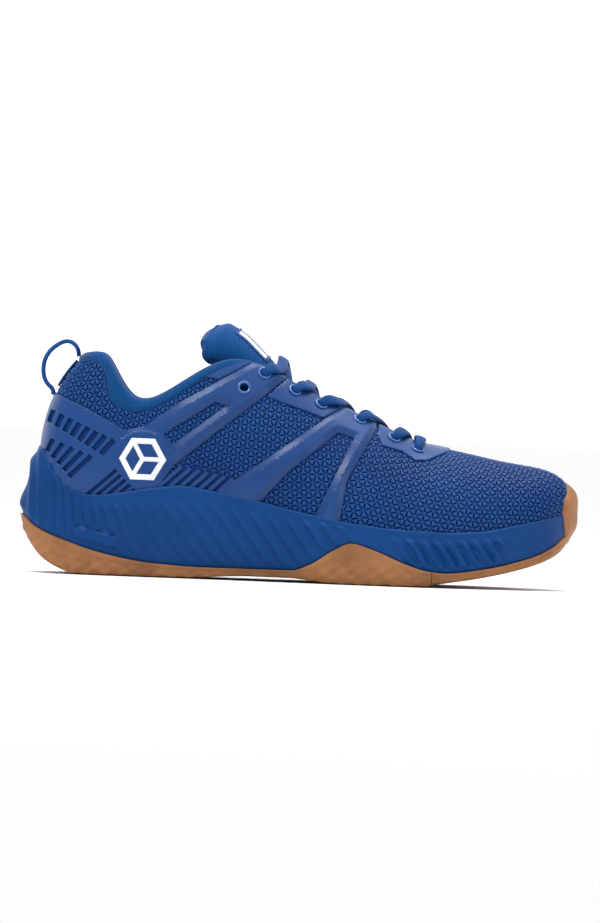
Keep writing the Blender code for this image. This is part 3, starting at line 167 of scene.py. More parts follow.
FOAM_EDGE_CURVE = (
    (9, 67.4), (12, 62.9), (15.1, 56.7), (19.4, 49.9), (24.3, 44.9), (30.7, 42.2), (39, 41.3),
    (53, 43.1), (70, 46), (85, 47.5), (100, 45.6), (125, 41.3), (150, 36.1), (180, 30.7),
    (202, 28.7), (224, 28.1), (244, 29.4), (263, 33.4), (277, 37), (290, 41),
)
FOOTBED_CURVE = (
    (10, 28.5), (40, 27.3), (80, 26.2), (110, 24), (140, 21), (175, 18.3), (205, 18), (232, 19.5),
    (256, 23.5), (275, 28), (290, 32),
)

# Eyelets: x and z in side view. The first is the offset lace-lock hole, which stays empty.
EYELETS = (
    (115.7, 100.7), (125.5, 108), (142.1, 100.2), (156.4, 93.4), (176.7, 85), (195.5, 76.7), (208.7, 71.3),
)

# Outlines of the welded overlays in side view: x, z.
HEEL_CAGE_OUTLINE = (
    (-5, 93), (15.4, 95.5), (34.8, 86.4), (54.2, 76.3), (64.4, 79.1), (83, 93), (104, 105.5),
    (124, 117), (131, 114), (138.4, 107.5), (126, 96.5), (102.2, 77.3), (80.3, 59.2), (66, 38),
    (-5, 38),
)
HEEL_CAGE_WINDOW = ((101.1, 93.2), (106.6, 91.6), (79.3, 70.1), (74.5, 75.4))
COLLAR_PATCH_OUTLINE = ((95, 106.3), (102.6, 105.3), (122.6, 116.6), (121, 125), (108, 125))
EYESTAY_PANEL_OUTLINE = ((139, 107), (127.9, 97), (158.2, 86.6), (167.4, 92.2), (160, 104), (146, 112))
MIDFOOT_CAGE_OUTLINE = (
    (168, 92.4), (158.7, 86), (124.3, 60.9), (100, 43.6), (104, 36), (122, 36), (141, 58),
    (166.3, 79), (174.6, 76.5), (160.5, 46), (154, 30), (168, 26), (172, 54.3), (186.2, 81.6),
    (186, 96), (172, 100),
)
THROAT_PANEL_OUTLINE = (
    (187, 96), (187, 77.5), (190, 73.1), (200.7, 70.2), (207.4, 65.9), (214, 66), (224, 70.4),
    (227, 72.5), (220, 90),
)
EMBLEM_CENTRE = (63.8, 61.7)
EMBLEM_RADIUS = 12.5
EMBLEM_BAND = 2.0
EMBLEM_TOP, EMBLEM_BOTTOM = 0.75, 0.4  # above and below the panel's face
BADGE_SEAT, BADGE_CLEAR = (14.6, 15.4), 19  # radii: the seat's edge, and where the straps are full again
BADGE_RISE = 0.4

TONGUE_RIDGE = (  # side view of the tongue's outer face, base to top: x, z
    (214, 66.5), (196, 75), (178, 84.5), (154, 96), (137, 109.3), (126, 120.6), (115, 131.2),
    (108.5, 136.4),
)
TONGUE_HALF_ARC = (7, 8, 11, 16, 19, 25, 34, 33)  # mm round the arch, at the same places
TONGUE_ARCH_RADIUS = (30, 32, 36, 34, 26, 19.3, 19, 21)
TONGUE_TOTAL = 8.0  # outer face to inner face
TONGUE_BASE_TOTAL = 4.4
TONGUE_ROLL = (  # z, and how far the padded end stands back there
    (104, 0), (112, 4.2), (119, 8.0), (126, 9.8), (132, 9.4), (139, 6.4),
)
BINDING_U, BINDING_HALF_WIDTH, BINDING_HALF_HEIGHT = (0.42, 0.93), 2.3, 1.5
LABEL_U, LABEL_HALF_ARC = (0.675, 0.885), 11.5
LABEL_BARS_U, LABEL_BARS_REACH = (0.69, 0.87), 10  # where the white bars lie
LABEL_BAR_PITCH, LABEL_BAR_WIDTH = 5, 3.4

LOOP_PATH = (  # side view of the pull loop: x, z
    (27.2, 114.8), (26.1, 119.4), (22, 122.6), (15.5, 120.6), (9.6, 113.6), (8.6, 106), (11.2, 99.6),
    (14.2, 95.8), (14.0, 94.0),
)


# ---------------------------------------------------------------- curves
def smooth(knots, values, flat_ends=False):
    """A C2 cubic through the knots, natural at its ends or with zero slope there."""
    x, y = np.asarray(knots, float), np.asarray(values, float)
    n, h = len(x), np.diff(x)
    system, right = np.zeros((n, n)), np.zeros(n)
    for i in range(1, n - 1):
        system[i, i - 1 : i + 2] = h[i - 1], 2 * (h[i - 1] + h[i]), h[i]
        right[i] = 6 * ((y[i + 1] - y[i]) / h[i] - (y[i] - y[i - 1]) / h[i - 1])
    if flat_ends:
        system[0, :2], right[0] = (2 * h[0], h[0]), 6 * (y[1] - y[0]) / h[0]
        system[-1, -2:], right[-1] = (h[-1], 2 * h[-1]), -6 * (y[-1] - y[-2]) / h[-1]
    else:
        system[0, 0] = system[-1, -1] = 1
    bend = np.linalg.solve(system, right)

    def curve(at):
        at = np.clip(np.asarray(at, float), x[0], x[-1])
        i = np.clip(np.searchsorted(x, at) - 1, 0, n - 2)
        a, b = (x[i + 1] - at) / h[i], (at - x[i]) / h[i]
        cubic = ((a**3 - a) * bend[i] + (b**3 - b) * bend[i + 1]) * h[i] ** 2 / 6
        return a * y[i] + b * y[i + 1] + cubic

    return curve


def steady(points):
    """A C1 curve z(x) through side-view points that never overshoots between them."""
    x, z = np.array(points, float).T
    h, rise = np.diff(x), np.diff(z) / np.diff(x)
    slope = np.zeros(len(x))
    same = rise[:-1] * rise[1:] > 0
    inner = np.where(same, 2 * rise[:-1] * rise[1:] / np.where(same, rise[:-1] + rise[1:], 1), 0)
    slope[1:-1], slope[0], slope[-1] = inner, rise[0], rise[-1]

    def curve(at):
        at = np.clip(np.asarray(at, float), x[0], x[-1])
        i = np.clip(np.searchsorted(x, at) - 1, 0, len(x) - 2)
        u = (at - x[i]) / h[i]
        value = (1 + 2 * u) * (1 - u) ** 2 * z[i] + u * u * (3 - 2 * u) * z[i + 1]
        return value + h[i] * (u * (1 - u) ** 2 * slope[i] - u * u * (1 - u) * slope[i + 1])

    return curve


def ease(value, low, high):
    """0 below low, 1 above high, and smooth between them."""
    u = np.clip((np.asarray(value, float) - low) / (high - low), 0, 1)
    return u * u * (3 - 2 * u)


def centre_line(x):
    """Y of the shoe's long centre line, which swings to the medial side at the toe."""
    return TOE_SWING * ease(x, 120, 300)


# ---------------------------------------------------------------- the lasted surface of the upper
def rail(rows):
    knots = np.linspace(0, 1, len(rows))
    x, lateral, medial, z = np.array(rows, float).T
    return {
        "x": smooth(knots, x, flat_ends=True),
        "z": smooth(knots, z, flat_ends=True),
        LATERAL: smooth(knots, lateral),
        MEDIAL: smooth(knots, medial),
    }


RAILS = [rail(rows) for rows in (FEATHER_RAIL, LOWER_WALL_RAIL, UPPER_WALL_RAIL, TOP_RAIL)]
TOP_WIDTH = steady([(i / STATIONS, row[1]) for i, row in enumerate(TOP_RAIL)])


def upper_point(s, t, side):
    """Points of the lasted surface, in mm, as an array of x, y, z."""
    s, t = np.broadcast_arrays(np.asarray(s, float), np.asarray(t, float))
    x = [r["x"](s) for r in RAILS]
    z = [r["z"](s) for r in RAILS]
    width = [r[side](s) for r in RAILS[:3]] + [TOP_WIDTH(s)]
    step = 1e-3
    ahead, behind = np.minimum(s + step, 1), s - step
    run = RAILS[3]["x"](ahead) - RAILS[3]["x"](behind)
    slope = (RAILS[3]["z"](ahead) - RAILS[3]["z"](behind)) / np.where(abs(run) < 1e-9, 1, run)
    on_ridge = z[3] + slope * (x[2] - x[3])
    z[2] = z[2] + (on_ridge - z[2]) * ease(s, THROAT_BASE - 1 / STATIONS, THROAT_BASE)
    weights = ((1 - t) ** 3, 3 * t * (1 - t) ** 2, 3 * t * t * (1 - t), t**3)
    out = [sum(w * v for w, v in zip(weights, values)) for values in (x, width, z)]
    middle = sum(w * centre_line(v) for w, v in zip(weights, x))
    return np.stack([out[0], middle + side * out[1], out[2]], axis=-1)


def upper_normal(s, t, side):
    """Outward unit normals of the lasted surface."""
    step = 2e-3
    s = np.clip(np.asarray(s, float), step, 1 - 2 * step)
    t = np.clip(np.asarray(t, float), step, 1 - step)
    along = upper_point(s + step, t, side) - upper_point(s - step, t, side)
    up = upper_point(s, t + step, side) - upper_point(s, t - step, side)
    normal = -side * np.cross(along, up)
    return normal / np.linalg.norm(normal, axis=-1, keepdims=True)


# ---------------------------------------------------------------- helpers
def world(points):
    """Design millimetres to the frame's metres."""
    return (np.asarray(points, float) - (LENGTH / 2, CENTRE_Y, 0)) * 0.001


def unit(vectors):
    return vectors / np.maximum(np.linalg.norm(vectors, axis=-1, keepdims=True), 1e-12)


def add_piece(name, vertices, faces, finish, sharp=40, slots=None, body="shoe"):
    """A mesh piece from design points, riding on a body, with its faces turned outwards. finish is one
    material or several, and slots then says which one each face takes."""
    mesh = bpy.data.meshes.new(name)
    mesh.from_pydata(world(vertices).tolist(), [], [list(map(int, face)) for face in faces])
    for one in finish if isinstance(finish, (list, tuple)) else [finish]:
        mesh.materials.append(one)
    if slots is not None and isinstance(finish, (list, tuple)):
        mesh.polygons.foreach_set("material_index", slots)
    build = bmesh.new()
    build.from_mesh(mesh)
    bmesh.ops.remove_doubles(build, verts=build.verts, dist=1e-6)
    bmesh.ops.dissolve_degenerate(build, edges=build.edges, dist=1e-7)
    bmesh.ops.recalc_face_normals(build, faces=build.faces)
    build.to_mesh(mesh)
    build.free()
    mesh.shade_smooth()
    if sharp:
        mesh.set_sharp_from_angle(angle=math.radians(sharp))
    made = bpy.data.objects.new(name, mesh)
    bpy.context.scene.collection.objects.link(made)
    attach(made, body)
    return made


def grid_faces(rows, columns, wrap_rows=False, wrap_columns=False):
    """Quads of a grid of points stored row by row."""
    last_row, last_column = rows if wrap_rows else rows - 1, columns if wrap_columns else columns - 1
    i, j = np.meshgrid(np.arange(last_row), np.arange(last_column), indexing="ij")
    i2, j2 = (i + 1) % rows, (j + 1) % columns
    quads = np.stack([i * columns + j, i2 * columns + j, i2 * columns + j2, i * columns + j2], axis=-1)
    return quads.reshape(-1, 4).tolist()


def grid_triangles(rows, columns):
    """Triangles of the same grid."""
    quads = np.array(grid_faces(rows, columns))
    return np.concatenate([quads[:, [0, 1, 2]], quads[:, [0, 2, 3]]])


def closed_tube(rings):
    """Vertices and faces of a tube through rings of points, capped at both ends."""
    rings = np.asarray(rings)
    count, sides = rings.shape[:2]
    faces = grid_faces(count, sides, wrap_columns=True)
    faces.append(list(range(sides)))
    faces.append([(count - 1) * sides + j for j in reversed(range(sides))])
    return rings.reshape(-1, 3), faces


def ribbon(path, ups, half_width, half_height, sides=14, square=0.6):
    """Rings of a flat band along a path. `ups` point out of the band's face; sizes may vary along it."""
    path, ups = np.asarray(path, float), np.asarray(ups, float)
    along = unit(np.gradient(path, axis=0))
    across = unit(np.cross(along, ups))
    ups = np.cross(across, along)
    angles = np.arange(sides) * math.tau / sides
    wide = np.sign(np.cos(angles)) * abs(np.cos(angles)) ** square
    high = np.sign(np.sin(angles)) * abs(np.sin(angles)) ** square
    half_width = np.broadcast_to(half_width, len(path))[:, None, None]
    half_height = np.broadcast_to(half_height, len(path))[:, None, None]
    return (
        path[:, None]
        + across[:, None] * half_width * wide[None, :, None]
        + ups[:, None] * half_height * high[None, :, None]
    )


def spline(points, count):
    """A C2 curve through points, sampled evenly by length."""
    points = np.asarray(points, float)
    knots = np.concatenate([[0], np.cumsum(np.linalg.norm(np.diff(points, axis=0), axis=1))])
    fine = np.linspace(0, knots[-1], 20 * len(points))
    path = np.stack([smooth(knots, points[:, axis])(fine) for axis in range(points.shape[1])], axis=-1)
    length = np.concatenate([[0], np.cumsum(np.linalg.norm(np.diff(path[:, :3], axis=0), axis=1))])
    even = np.linspace(0, length[-1], count)
    return np.stack([np.interp(even, length, path[:, axis]) for axis in range(points.shape[1])], axis=-1)


# ---------------------------------------------------------------- the upper laid out flat
def shell_normal(s, t, side):
    """Outward normals of the upper, without a crease on the vamp's ridge or the middle of toe and heel."""
    normal = upper_normal(s, t, side)
    ridge = ease(t, 0.86, 1.0) * ease(s, THROAT_BASE - 0.03, THROAT_BASE)
    near = ridge + ease(s, 0.97, 1.0) + 1 - ease(s, 0, 0.02)
    normal[..., 1] *= 1 - np.clip(near, 0, 1)
    return unit(normal)


def shell_point(s, t, side, height=0.0):
    """Points above (or below) the lasted surface."""
    height = np.asarray(height, float)[..., None]
    return upper_point(s, t, side) + shell_normal(s, t, side) * height


def on_shell(s, t, side, height):
    """Shell points for columns of mixed sides."""
    s, t, side, height = np.broadcast_arrays(s, t, side, height)
    out = np.zeros((*s.shape, 3))
    for one in SIDES:
        mine = side == one
        out[mine] = shell_point(s[mine], t[mine], one, height[mine])
    return out


class Chart:
    """The upper unrolled flat, cut at the heel's middle: u and v are in millimetres, the lateral quarter's
    bottom edge runs along +u and its topline lies at +v."""

    COLUMNS, ROWS = 130, 30
    LOW_T = 0.04

    def __init__(self):
        self.s = np.linspace(0, 1, self.COLUMNS + 1)
        self.t = np.linspace(self.LOW_T, 1, self.ROWS + 1)
        self.s[np.argmin(abs(self.s - THROAT_BASE))] = THROAT_BASE
        keys, faces, self.face_cells = {}, [], []
        for side in SIDES:
            for i in range(self.COLUMNS):
                for j in range(self.ROWS):
                    corners = ((i, j), (i + 1, j), (i + 1, j + 1), (i, j + 1))
                    quad = [keys.setdefault(self.key(a, b, side), len(keys)) for a, b in corners]
                    for picked in ((0, 1, 2), (0, 2, 3)):
                        faces.append([quad[k] for k in (picked if side == LATERAL else picked[::-1])])
                        cells = [corners[k] for k in picked]
                        self.face_cells.append([(self.s[a], self.t[b], side) for a, b in cells])
        self.keys = keys
        places = np.zeros((len(keys), 3))
        for (i, j, side), number in keys.items():
            places[number] = upper_point(self.s[i], self.t[j], side or LATERAL)
        self.flat = self.unroll(places, faces)
        flat3 = np.column_stack([self.flat, np.zeros(len(self.flat))])
        self.tree = BVHTree.FromPolygons(flat3.tolist(), faces)
        self.corners = np.array([[self.flat[v] for v in face] for face in faces])
        for number, face in enumerate(faces):
            if self.face_cells[number][0][2] == MEDIAL:
                self.corners[number] = self.corners[number][::-1]

    def key(self, i, j, side):
        on_middle = i == self.COLUMNS or (j == self.ROWS and self.s[i] >= THROAT_BASE - 1e-9)
        return (i, j, 0 if on_middle else side)

    def unroll(self, places, faces):
        mesh = bpy.data.meshes.new("chart")
        mesh.from_pydata((places * 0.001).tolist(), [], faces)
        mesh.uv_layers.new(name="flat")
        made = bpy.data.objects.new("chart", mesh)
        bpy.context.scene.collection.objects.link(made)
        bpy.context.view_layer.objects.active = made
        made.select_set(True)
        bpy.ops.object.mode_set(mode="EDIT")
        bpy.ops.mesh.select_all(action="SELECT")
        bpy.ops.uv.unwrap(method="MINIMUM_STRETCH", margin=0, iterations=40, no_flip=True)
        bpy.ops.object.mode_set(mode="OBJECT")
        loops = np.zeros(len(mesh.loops), int)
        mesh.loops.foreach_get("vertex_index", loops)
        uv = np.zeros(len(mesh.loops) * 2)
        mesh.uv_layers["flat"].data.foreach_get("uv", uv)
        flat = np.zeros((len(places), 2))
        flat[loops] = uv.reshape(-1, 2)
        bpy.data.objects.remove(made)
        edges = np.array(faces)[:, :2]
        real = np.linalg.norm(places[edges[:, 0]] - places[edges[:, 1]], axis=1)
        drawn = np.linalg.norm(flat[edges[:, 0]] - flat[edges[:, 1]], axis=1)
        flat /= np.median(drawn[real > 0.05] / real[real > 0.05])
        rear, front, top = (flat[self.keys[(*cell, LATERAL)]] for cell in ((30, 3), (75, 3), (50, 25)))
        along = (front - rear) / np.linalg.norm(front - rear)
        turned = np.array([along, [-along[1], along[0]]])
        flat = (flat - rear) @ turned.T
        if (turned @ (top - rear))[1] < 0:
            flat[:, 1] *= -1
        return flat

    def to_flat(self, s, t, side):
        """u, v of places given by s, t and side."""
        i = np.clip(np.searchsorted(self.s, s) - 1, 0, self.COLUMNS - 1)
        j = np.clip(np.searchsorted(self.t, t) - 1, 0, self.ROWS - 1)
        a = (s - self.s[i]) / (self.s[i + 1] - self.s[i])
        b = np.clip((t - self.t[j]) / (self.t[j + 1] - self.t[j]), 0, 1)
        cells = ((i, j), (i + 1, j), (i + 1, j + 1), (i, j + 1))
        grid = [self.flat[self.keys[self.key(*cell, side)]] for cell in cells]
        return (grid[0] * (1 - a) + grid[1] * a) * (1 - b) + (grid[3] * (1 - a) + grid[2] * a) * b

    def from_flat(self, points):
        """s, t, side and how far outside the layout each u, v point lies. Points outside move to its edge."""
        s, t, side, far = (np.zeros(len(points)) for _ in range(4))
        for number, (u, v) in enumerate(points):
            place, _, face, far[number] = self.tree.find_nearest(Vector((u, v, 0)))
            a, b, c = self.corners[face]
            base = np.array([b - a, c - a]).T
            x, y = np.linalg.solve(base, np.array(place[:2]) - a)
            cells = self.face_cells[face]
            s[number] = cells[0][0] * (1 - x - y) + cells[1][0] * x + cells[2][0] * y
            t[number] = cells[0][1] * (1 - x - y) + cells[1][1] * x + cells[2][1] * y
            side[number] = cells[0][2]
        return np.clip(s, 0, 1), np.clip(t, 0, 1), side, far


CHART = Chart()


class SideView:
    """Finds the place on the upper seen at x, z from one side."""

    LOW_T = 0.12

    def __init__(self, side):
        s, t = np.meshgrid(np.linspace(0, 1, 161), np.linspace(self.LOW_T, 1, 41), indexing="ij")
        self.st = np.column_stack([s.ravel(), t.ravel()])
        seen = upper_point(s, t, side).reshape(-1, 3)
        self.seen = seen[:, [0, 2]]
        self.faces = grid_triangles(*s.shape)
        flat = np.column_stack([self.seen, np.zeros(len(seen))])
        self.tree = BVHTree.FromPolygons(flat.tolist(), self.faces.tolist())

    def find(self, x, z):
        place, _, face, _ = self.tree.find_nearest(Vector((x, z, 0)))
        corners = self.faces[face]
        a, b, c = self.seen[corners]
        base = np.array([b - a, c - a]).T
        if abs(np.linalg.det(base)) < 1e-9:
            return tuple(self.st[corners[0]])
        share = np.linalg.solve(base, np.array(place[:2]) - a)
        low, one, two = self.st[corners]
        return tuple(low + (one - low) * share[0] + (two - low) * share[1])


VIEW = {side: SideView(side) for side in SIDES}


def dense(points, step, closed=True):
    """An outline with extra points along its straight edges."""
    points = [np.asarray(p, float) for p in points]
    ends = points[1:] + points[:1] if closed else points[1:]
    out = []
    for a, b in zip(points, ends):
        count = max(1, int(np.ceil(np.linalg.norm(b - a) / step)))
        out += [a + (b - a) * k / count for k in range(count)]
    return out if closed else out + [points[-1]]


def rounded(points, radius):
    """An outline with its corners rounded."""
    points = [np.asarray(p, float) for p in points]
    out = []
    for before, here, after in zip(points[-1:] + points[:-1], points, points[1:] + points[:1]):
        reach = [min(radius, np.linalg.norm(other - here) * 0.4) for other in (before, after)]
        start = here + unit(before - here) * reach[0]
        end = here + unit(after - here) * reach[1]
        for k in (0, 0.33, 0.67, 1):
            out.append((1 - k) ** 2 * start + 2 * k * (1 - k) * here + k * k * end)
    return out


def laid_flat(points, side):
    """Side-view places to u, v."""
    return [CHART.to_flat(*VIEW[side].find(x, z), side) for x, z in points]


def flat_outline(points, side):
    """A side-view outline to u, v, with its corners rounded."""
    return laid_flat(dense(rounded(points, 0.8), 2.0), side)


def inside(points, outline):
    """Which u, v points lie inside an outline."""
    outline = np.asarray(outline)
    x, y = points[:, 0, None], points[:, 1, None]
    x1, y1 = outline.T
    x2, y2 = np.roll(outline, -1, axis=0).T
    crosses = (y1 > y) != (y2 > y)
    cut = (x2 - x1) * (y - y1) / np.where(y2 == y1, 1, y2 - y1) + x1
    return (crosses & (x < cut)).sum(axis=1) % 2 == 1


def edge_distance(points, loops):
    """How far each u, v point is from the nearest edge of the loops."""
    best = np.full(len(points), 1e9)
    for loop in loops:
        a = np.asarray(loop)
        b = np.roll(a, -1, axis=0)
        run = b - a
        length = np.maximum((run**2).sum(axis=1), 1e-12)
        share = np.clip(((points[:, None] - a) * run).sum(axis=-1) / length, 0, 1)
        gap = np.linalg.norm(points[:, None] - (a + run * share[..., None]), axis=-1)
        best = np.minimum(best, gap.min(axis=1))
    return best


def inset(loop, distance):
    """Points of a loop moved sideways by a distance, to its left."""
    loop = np.asarray(loop)
    run = unit(np.roll(loop, -1, axis=0) - np.roll(loop, 1, axis=0))
    return loop + np.stack([-run[:, 1], run[:, 0]], axis=1) * distance


def triangulate(outline, holes, rings, spacing):
    """Triangles of a panel: its edges, rings of points at given distances inside them, and an even fill."""
    loops = [outline, *holes]
    points, edges = [], []
    for loop in loops:
        first = len(points)
        points += list(loop)
        edges += [(first + k, first + (k + 1) % len(loop)) for k in range(len(loop))]
    extra = []
    for distance in rings:
        for loop in loops:
            for way in (1, -1):
                moved = inset(loop, way * distance)
                keep = inside(moved, outline) & (edge_distance(moved, loops) > distance * 0.97)
                for hole in holes:
                    keep &= ~inside(moved, hole)
                extra += list(moved[keep])
    low, high = np.min(outline, axis=0), np.max(outline, axis=0)
    rows = np.arange(low[1], high[1], spacing * math.sqrt(3) / 2)
    columns = np.arange(low[0], high[0], spacing)
    fill = np.array([(x + spacing / 2 * (k % 2), y) for k, y in enumerate(rows) for x in columns])
    gap = edge_distance(fill, loops)
    keep = inside(fill, outline) & (gap > spacing * 0.45)
    for distance in rings:
        keep &= abs(gap - distance) > spacing * 0.35
    for hole in holes:
        keep &= ~inside(fill, hole)
    points += extra + list(fill[keep])
    vectors = [Vector((float(x), float(y))) for x, y in points]
    made = delaunay_2d_cdt(vectors, edges, [], 0, 1e-4)
    places = np.array([tuple(v) for v in made[0]])
    faces = np.array(made[2])
    middles = places[faces].mean(axis=1)
    keep = inside(middles, outline)
    for hole in holes:
        keep &= ~inside(middles, hole)
    return places, faces[keep]


def closed_sheet(top, bottom, faces):
    """A solid from a sheet's upper and lower points, with walls round its free edges."""
    count = len(top)
    used = {}
    for a, b, c in faces:
        for pair in ((a, b), (b, c), (c, a)):
            used[tuple(sorted(pair))] = None if tuple(sorted(pair)) in used else pair
    walls = [[b, a, a + count, b + count] for pair in used.values() if pair for a, b in [pair]]
    below = [[a + count, c + count, b + count] for a, b, c in faces]
    return np.concatenate([top, bottom]), [list(face) for face in faces] + below + walls


def grid_sheet(top, low):
    """A solid between two grids of points."""
    return closed_sheet(top.reshape(-1, 3), low.reshape(-1, 3), grid_triangles(*top.shape[:2]))


def shell_frame(points):
    """Base points and outward normals of flat places."""
    s, t, side, _ = CHART.from_flat(points)
    normal = np.zeros((len(points), 3))
    for one in SIDES:
        mine = side == one
        normal[mine] = shell_normal(s[mine], t[mine], one)
    return on_shell(s, t, side, 0.0), normal


def welded_panel(
    name, outlines, finish, relief=None, bevel=None,
    top=PANEL_TOP, bottom=-0.1, spacing=1.1, rings=(PANEL_RING,),
):
    """A panel (or several in one piece) with rounded shoulders, from (outline, holes) pairs in u, v.

    relief(base points, edge distance) adds height, and bevel(base points, edge distance) picks the faces that
    take the second material. rings are the distances from an edge that get a row of points of their own.
    """
    vertices, faces, slots = [], [], []
    for outline, holes in outlines:
        flat, triangles = triangulate(outline, holes, rings, spacing)
        base, normal = shell_frame(flat)
        gap = edge_distance(flat, [outline, *holes])
        height = top - PANEL_SHOULDER * (1 - ease(gap, 0, PANEL_RING))
        if relief:
            height = height + relief(base, gap)
        sheet, sides = closed_sheet(base + normal * height[:, None], base + normal * bottom, triangles)
        chosen = np.zeros(len(sides), int)
        if bevel:
            chosen[: len(triangles)] = bevel(base[triangles].mean(axis=1), gap[triangles].mean(axis=1))
        slots += chosen.tolist()
        faces += [[v + len(vertices) for v in face] for face in sides]
        vertices += list(sheet)
    crease = STRAP_CREASE if bevel else PANEL_CREASE
    return add_piece(name, vertices, faces, finish, sharp=crease, slots=slots)


# ---------------------------------------------------------------- the raised lattice
band_edge = steady(BAND_EDGE)


def upper_film(finish):
    """The upper's skin: small raised triangles between grooves that are deepest half way along."""
    low, high = CHART.flat.min(axis=0), CHART.flat.max(axis=0)
    row_step = LATTICE_SIDE * math.sqrt(3) / 2
    cells = []
    outline = [CHART.to_flat(s, 1, LATERAL) for s in np.linspace(0, THROAT_BASE, 40)]
    outline += [CHART.to_flat(s, 1, MEDIAL) for s in np.linspace(THROAT_BASE, 0, 40)]
    outline += [CHART.to_flat(s, CHART.LOW_T, MEDIAL) for s in np.linspace(0, 1, 80)]
    outline += [CHART.to_flat(s, CHART.LOW_T, LATERAL) for s in np.linspace(1, 0, 80)]
    rows = np.arange(-LATTICE_REACH, LATTICE_REACH)
    grid = np.array([(i, j) for j in rows for i in rows])
    corner_sets = np.array([[(0, 0), (1, 0), (0, 1)], [(1, 0), (1, 1), (0, 1)]])
    triangles = (grid[:, None, None, :] + corner_sets[None]).reshape(-1, 3, 2)
    along, across = triangles[..., 0], triangles[..., 1]
    spots = np.stack([(along + across / 2) * LATTICE_SIDE, across * row_step], axis=-1)
    middles = spots.mean(axis=1)
    near = ((middles > low - 5) & (middles < high + 5)).all(axis=1)
    triangles, spots, middles = triangles[near], spots[near], middles[near]
    close = inside(middles, outline) | (edge_distance(middles, [outline]) < LATTICE_SIDE * 0.62)
    triangles, spots = triangles[close], spots[close]
    # Every cell's points: shared corners C, edge middles M and groove ends D, and its own shoulder P, rim Q
    # and peak G.
    keys, flat, height = {}, [], []

    def shared(key, place, lift):
        if key not in keys:
            keys[key] = len(flat)
            flat.append(place)
            height.append(lift)
        return keys[key]

    for number, (corners, places) in enumerate(zip(triangles.tolist(), spots)):
        middle = places.mean(axis=0)
        c = [shared(("C", *corner), place, CORNER_HEIGHT) for corner, place in zip(corners, places)]
        m, d = [], []
        for k in range(3):
            n = (k + 1) % 3
            a, b = sorted((corners[k], corners[n]))
            m.append(shared(("M", *a, *b), (places[k] + places[n]) / 2, GROOVE_HEIGHT))
            ends = []
            for one, this, other in ((k, places[k], places[n]), (n, places[n], places[k])):
                spot = this + (other - this) * DASH_START
                ends.append(shared(("D", *corners[one], *a, *b), spot, DASH_HEIGHT))
            d.append(ends)
        p, q = [], []
        rings = (p, "P", SHOULDER_SHARE, SHOULDER_HEIGHT), (q, "Q", RIM_SHARE, RIM_HEIGHT)
        for ring, kind, share, lift in rings:
            ring += [shared((number, kind, k), a + (middle - a) * share, lift) for k, a in enumerate(places)]
        peak = shared((number, "G"), middle, PEAK_HEIGHT)
        cells.append((c, m, d, p, q, peak))
    flat, height = np.array(flat), np.array(height)
    s, t, side, far = CHART.from_flat(flat)
    edge = band_edge(s)
    out = (far > 0.01) | (t > edge)
    t = np.minimum(t, edge)
    points, under = on_shell(s, t, side, height), on_shell(s, t, side, -UPPER_THICKNESS)
    seen = points[:, [0, 2]]
    sunk = inside(seen, HEEL_CAGE_OUTLINE) & (seen[:, 0] < HEEL_CAGE_SUNK_X) | inside(seen, ARCH_ZONE)
    points[sunk] = on_shell(s[sunk], t[sunk], side[sunk], SUNK_HEIGHT)
    faces, below, rim, raised, plain = [], [], {}, [], []
    count = len(flat)
    for c, m, d, p, q, peak in cells:
        if out[c].all() and out[m].all() and out[peak]:
            continue
        for k in range(3):
            n = (k + 1) % 3
            near, far_end = d[k]
            # The groove faces go to `faces`, which take the darker groove material (slot 1): painted shade in
            # the grooves.
            dark, bright = (plain, plain) if sunk[peak] else (faces, raised)
            dark += [[near, m[k], p[k]], [m[k], p[n], p[k]], [m[k], far_end, p[n]]]
            bright += [[c[k], near, p[k]], [far_end, c[n], p[n]]]
            bright += [[p[k], p[n], q[n], q[k]], [q[k], q[n], peak]]
            pair = tuple(sorted((c[k], c[n])))
            rim[pair] = None if pair in rim else (c[k], near, m[k], far_end, c[n])
        below.append([c[2] + count, c[1] + count, c[0] + count])
    walls = [[*line[::-1], line[0] + count, line[-1] + count] for line in rim.values() if line]
    low_faces = faces + below + walls
    # Slot 2, the plain film of the sunk cells, takes the darker sunk material: painted shade in those
    # recesses.
    slots = [1] * len(low_faces) + [0] * len(raised) + [2] * len(plain)
    shape = np.concatenate([points, under])
    return add_piece("upper_film", shape, low_faces + raised + plain, finish, sharp=0, slots=slots)


# ---------------------------------------------------------------- materials
def srgb(red, green, blue):
    """0 to 255 display values to linear."""
    values = np.array((red, green, blue)) / 255
    return (*np.where(values <= 0.04045, values / 12.92, ((values + 0.055) / 1.055) ** 2.4), 1.0)


def new_material(name, roughness, **sockets):
    """A Principled material. Extra sockets are set by their names with _ for spaces."""
    made = bpy.data.materials.new(name)
    made.use_nodes = True
    shader = made.node_tree.nodes["Principled BSDF"]
    shader.inputs["Roughness"].default_value = roughness
    for socket, value in sockets.items():
        shader.inputs[socket.replace("_", " ")].default_value = value
    return made, shader


def add_node(made, kind, inputs=None, **settings):
    node = made.node_tree.nodes.new(kind)
    for key, value in settings.items():
        setattr(node, key, value)
    for key, value in (inputs or {}).items():
        node.inputs[key].default_value = value
    return node


def link(made, source, target):
    made.node_tree.links.new(source, target)


def noise(made, scale, detail=3.0):
    """Noise over the piece's own place in metres."""
    place = add_node(made, "ShaderNodeTexCoord")
    node = add_node(made, "ShaderNodeTexNoise", {"Scale": scale, "Detail": detail})
    link(made, place.outputs["Object"], node.inputs["Vector"])
    return node.outputs["Fac"]


def colour_ramp(made, factor, stops, socket):
    """Colour of a socket from a factor through (position, colour) stops."""
    ramp = add_node(made, "ShaderNodeValToRGB")
    ramp.color_ramp.elements[0].position, ramp.color_ramp.elements[0].color = stops[0]
    ramp.color_ramp.elements[1].position, ramp.color_ramp.elements[1].color = stops[-1]
    for position, colour in stops[1:-1]:
        ramp.color_ramp.elements.new(position).color = colour
    link(made, factor, ramp.inputs["Fac"])
    link(made, ramp.outputs["Color"], socket)


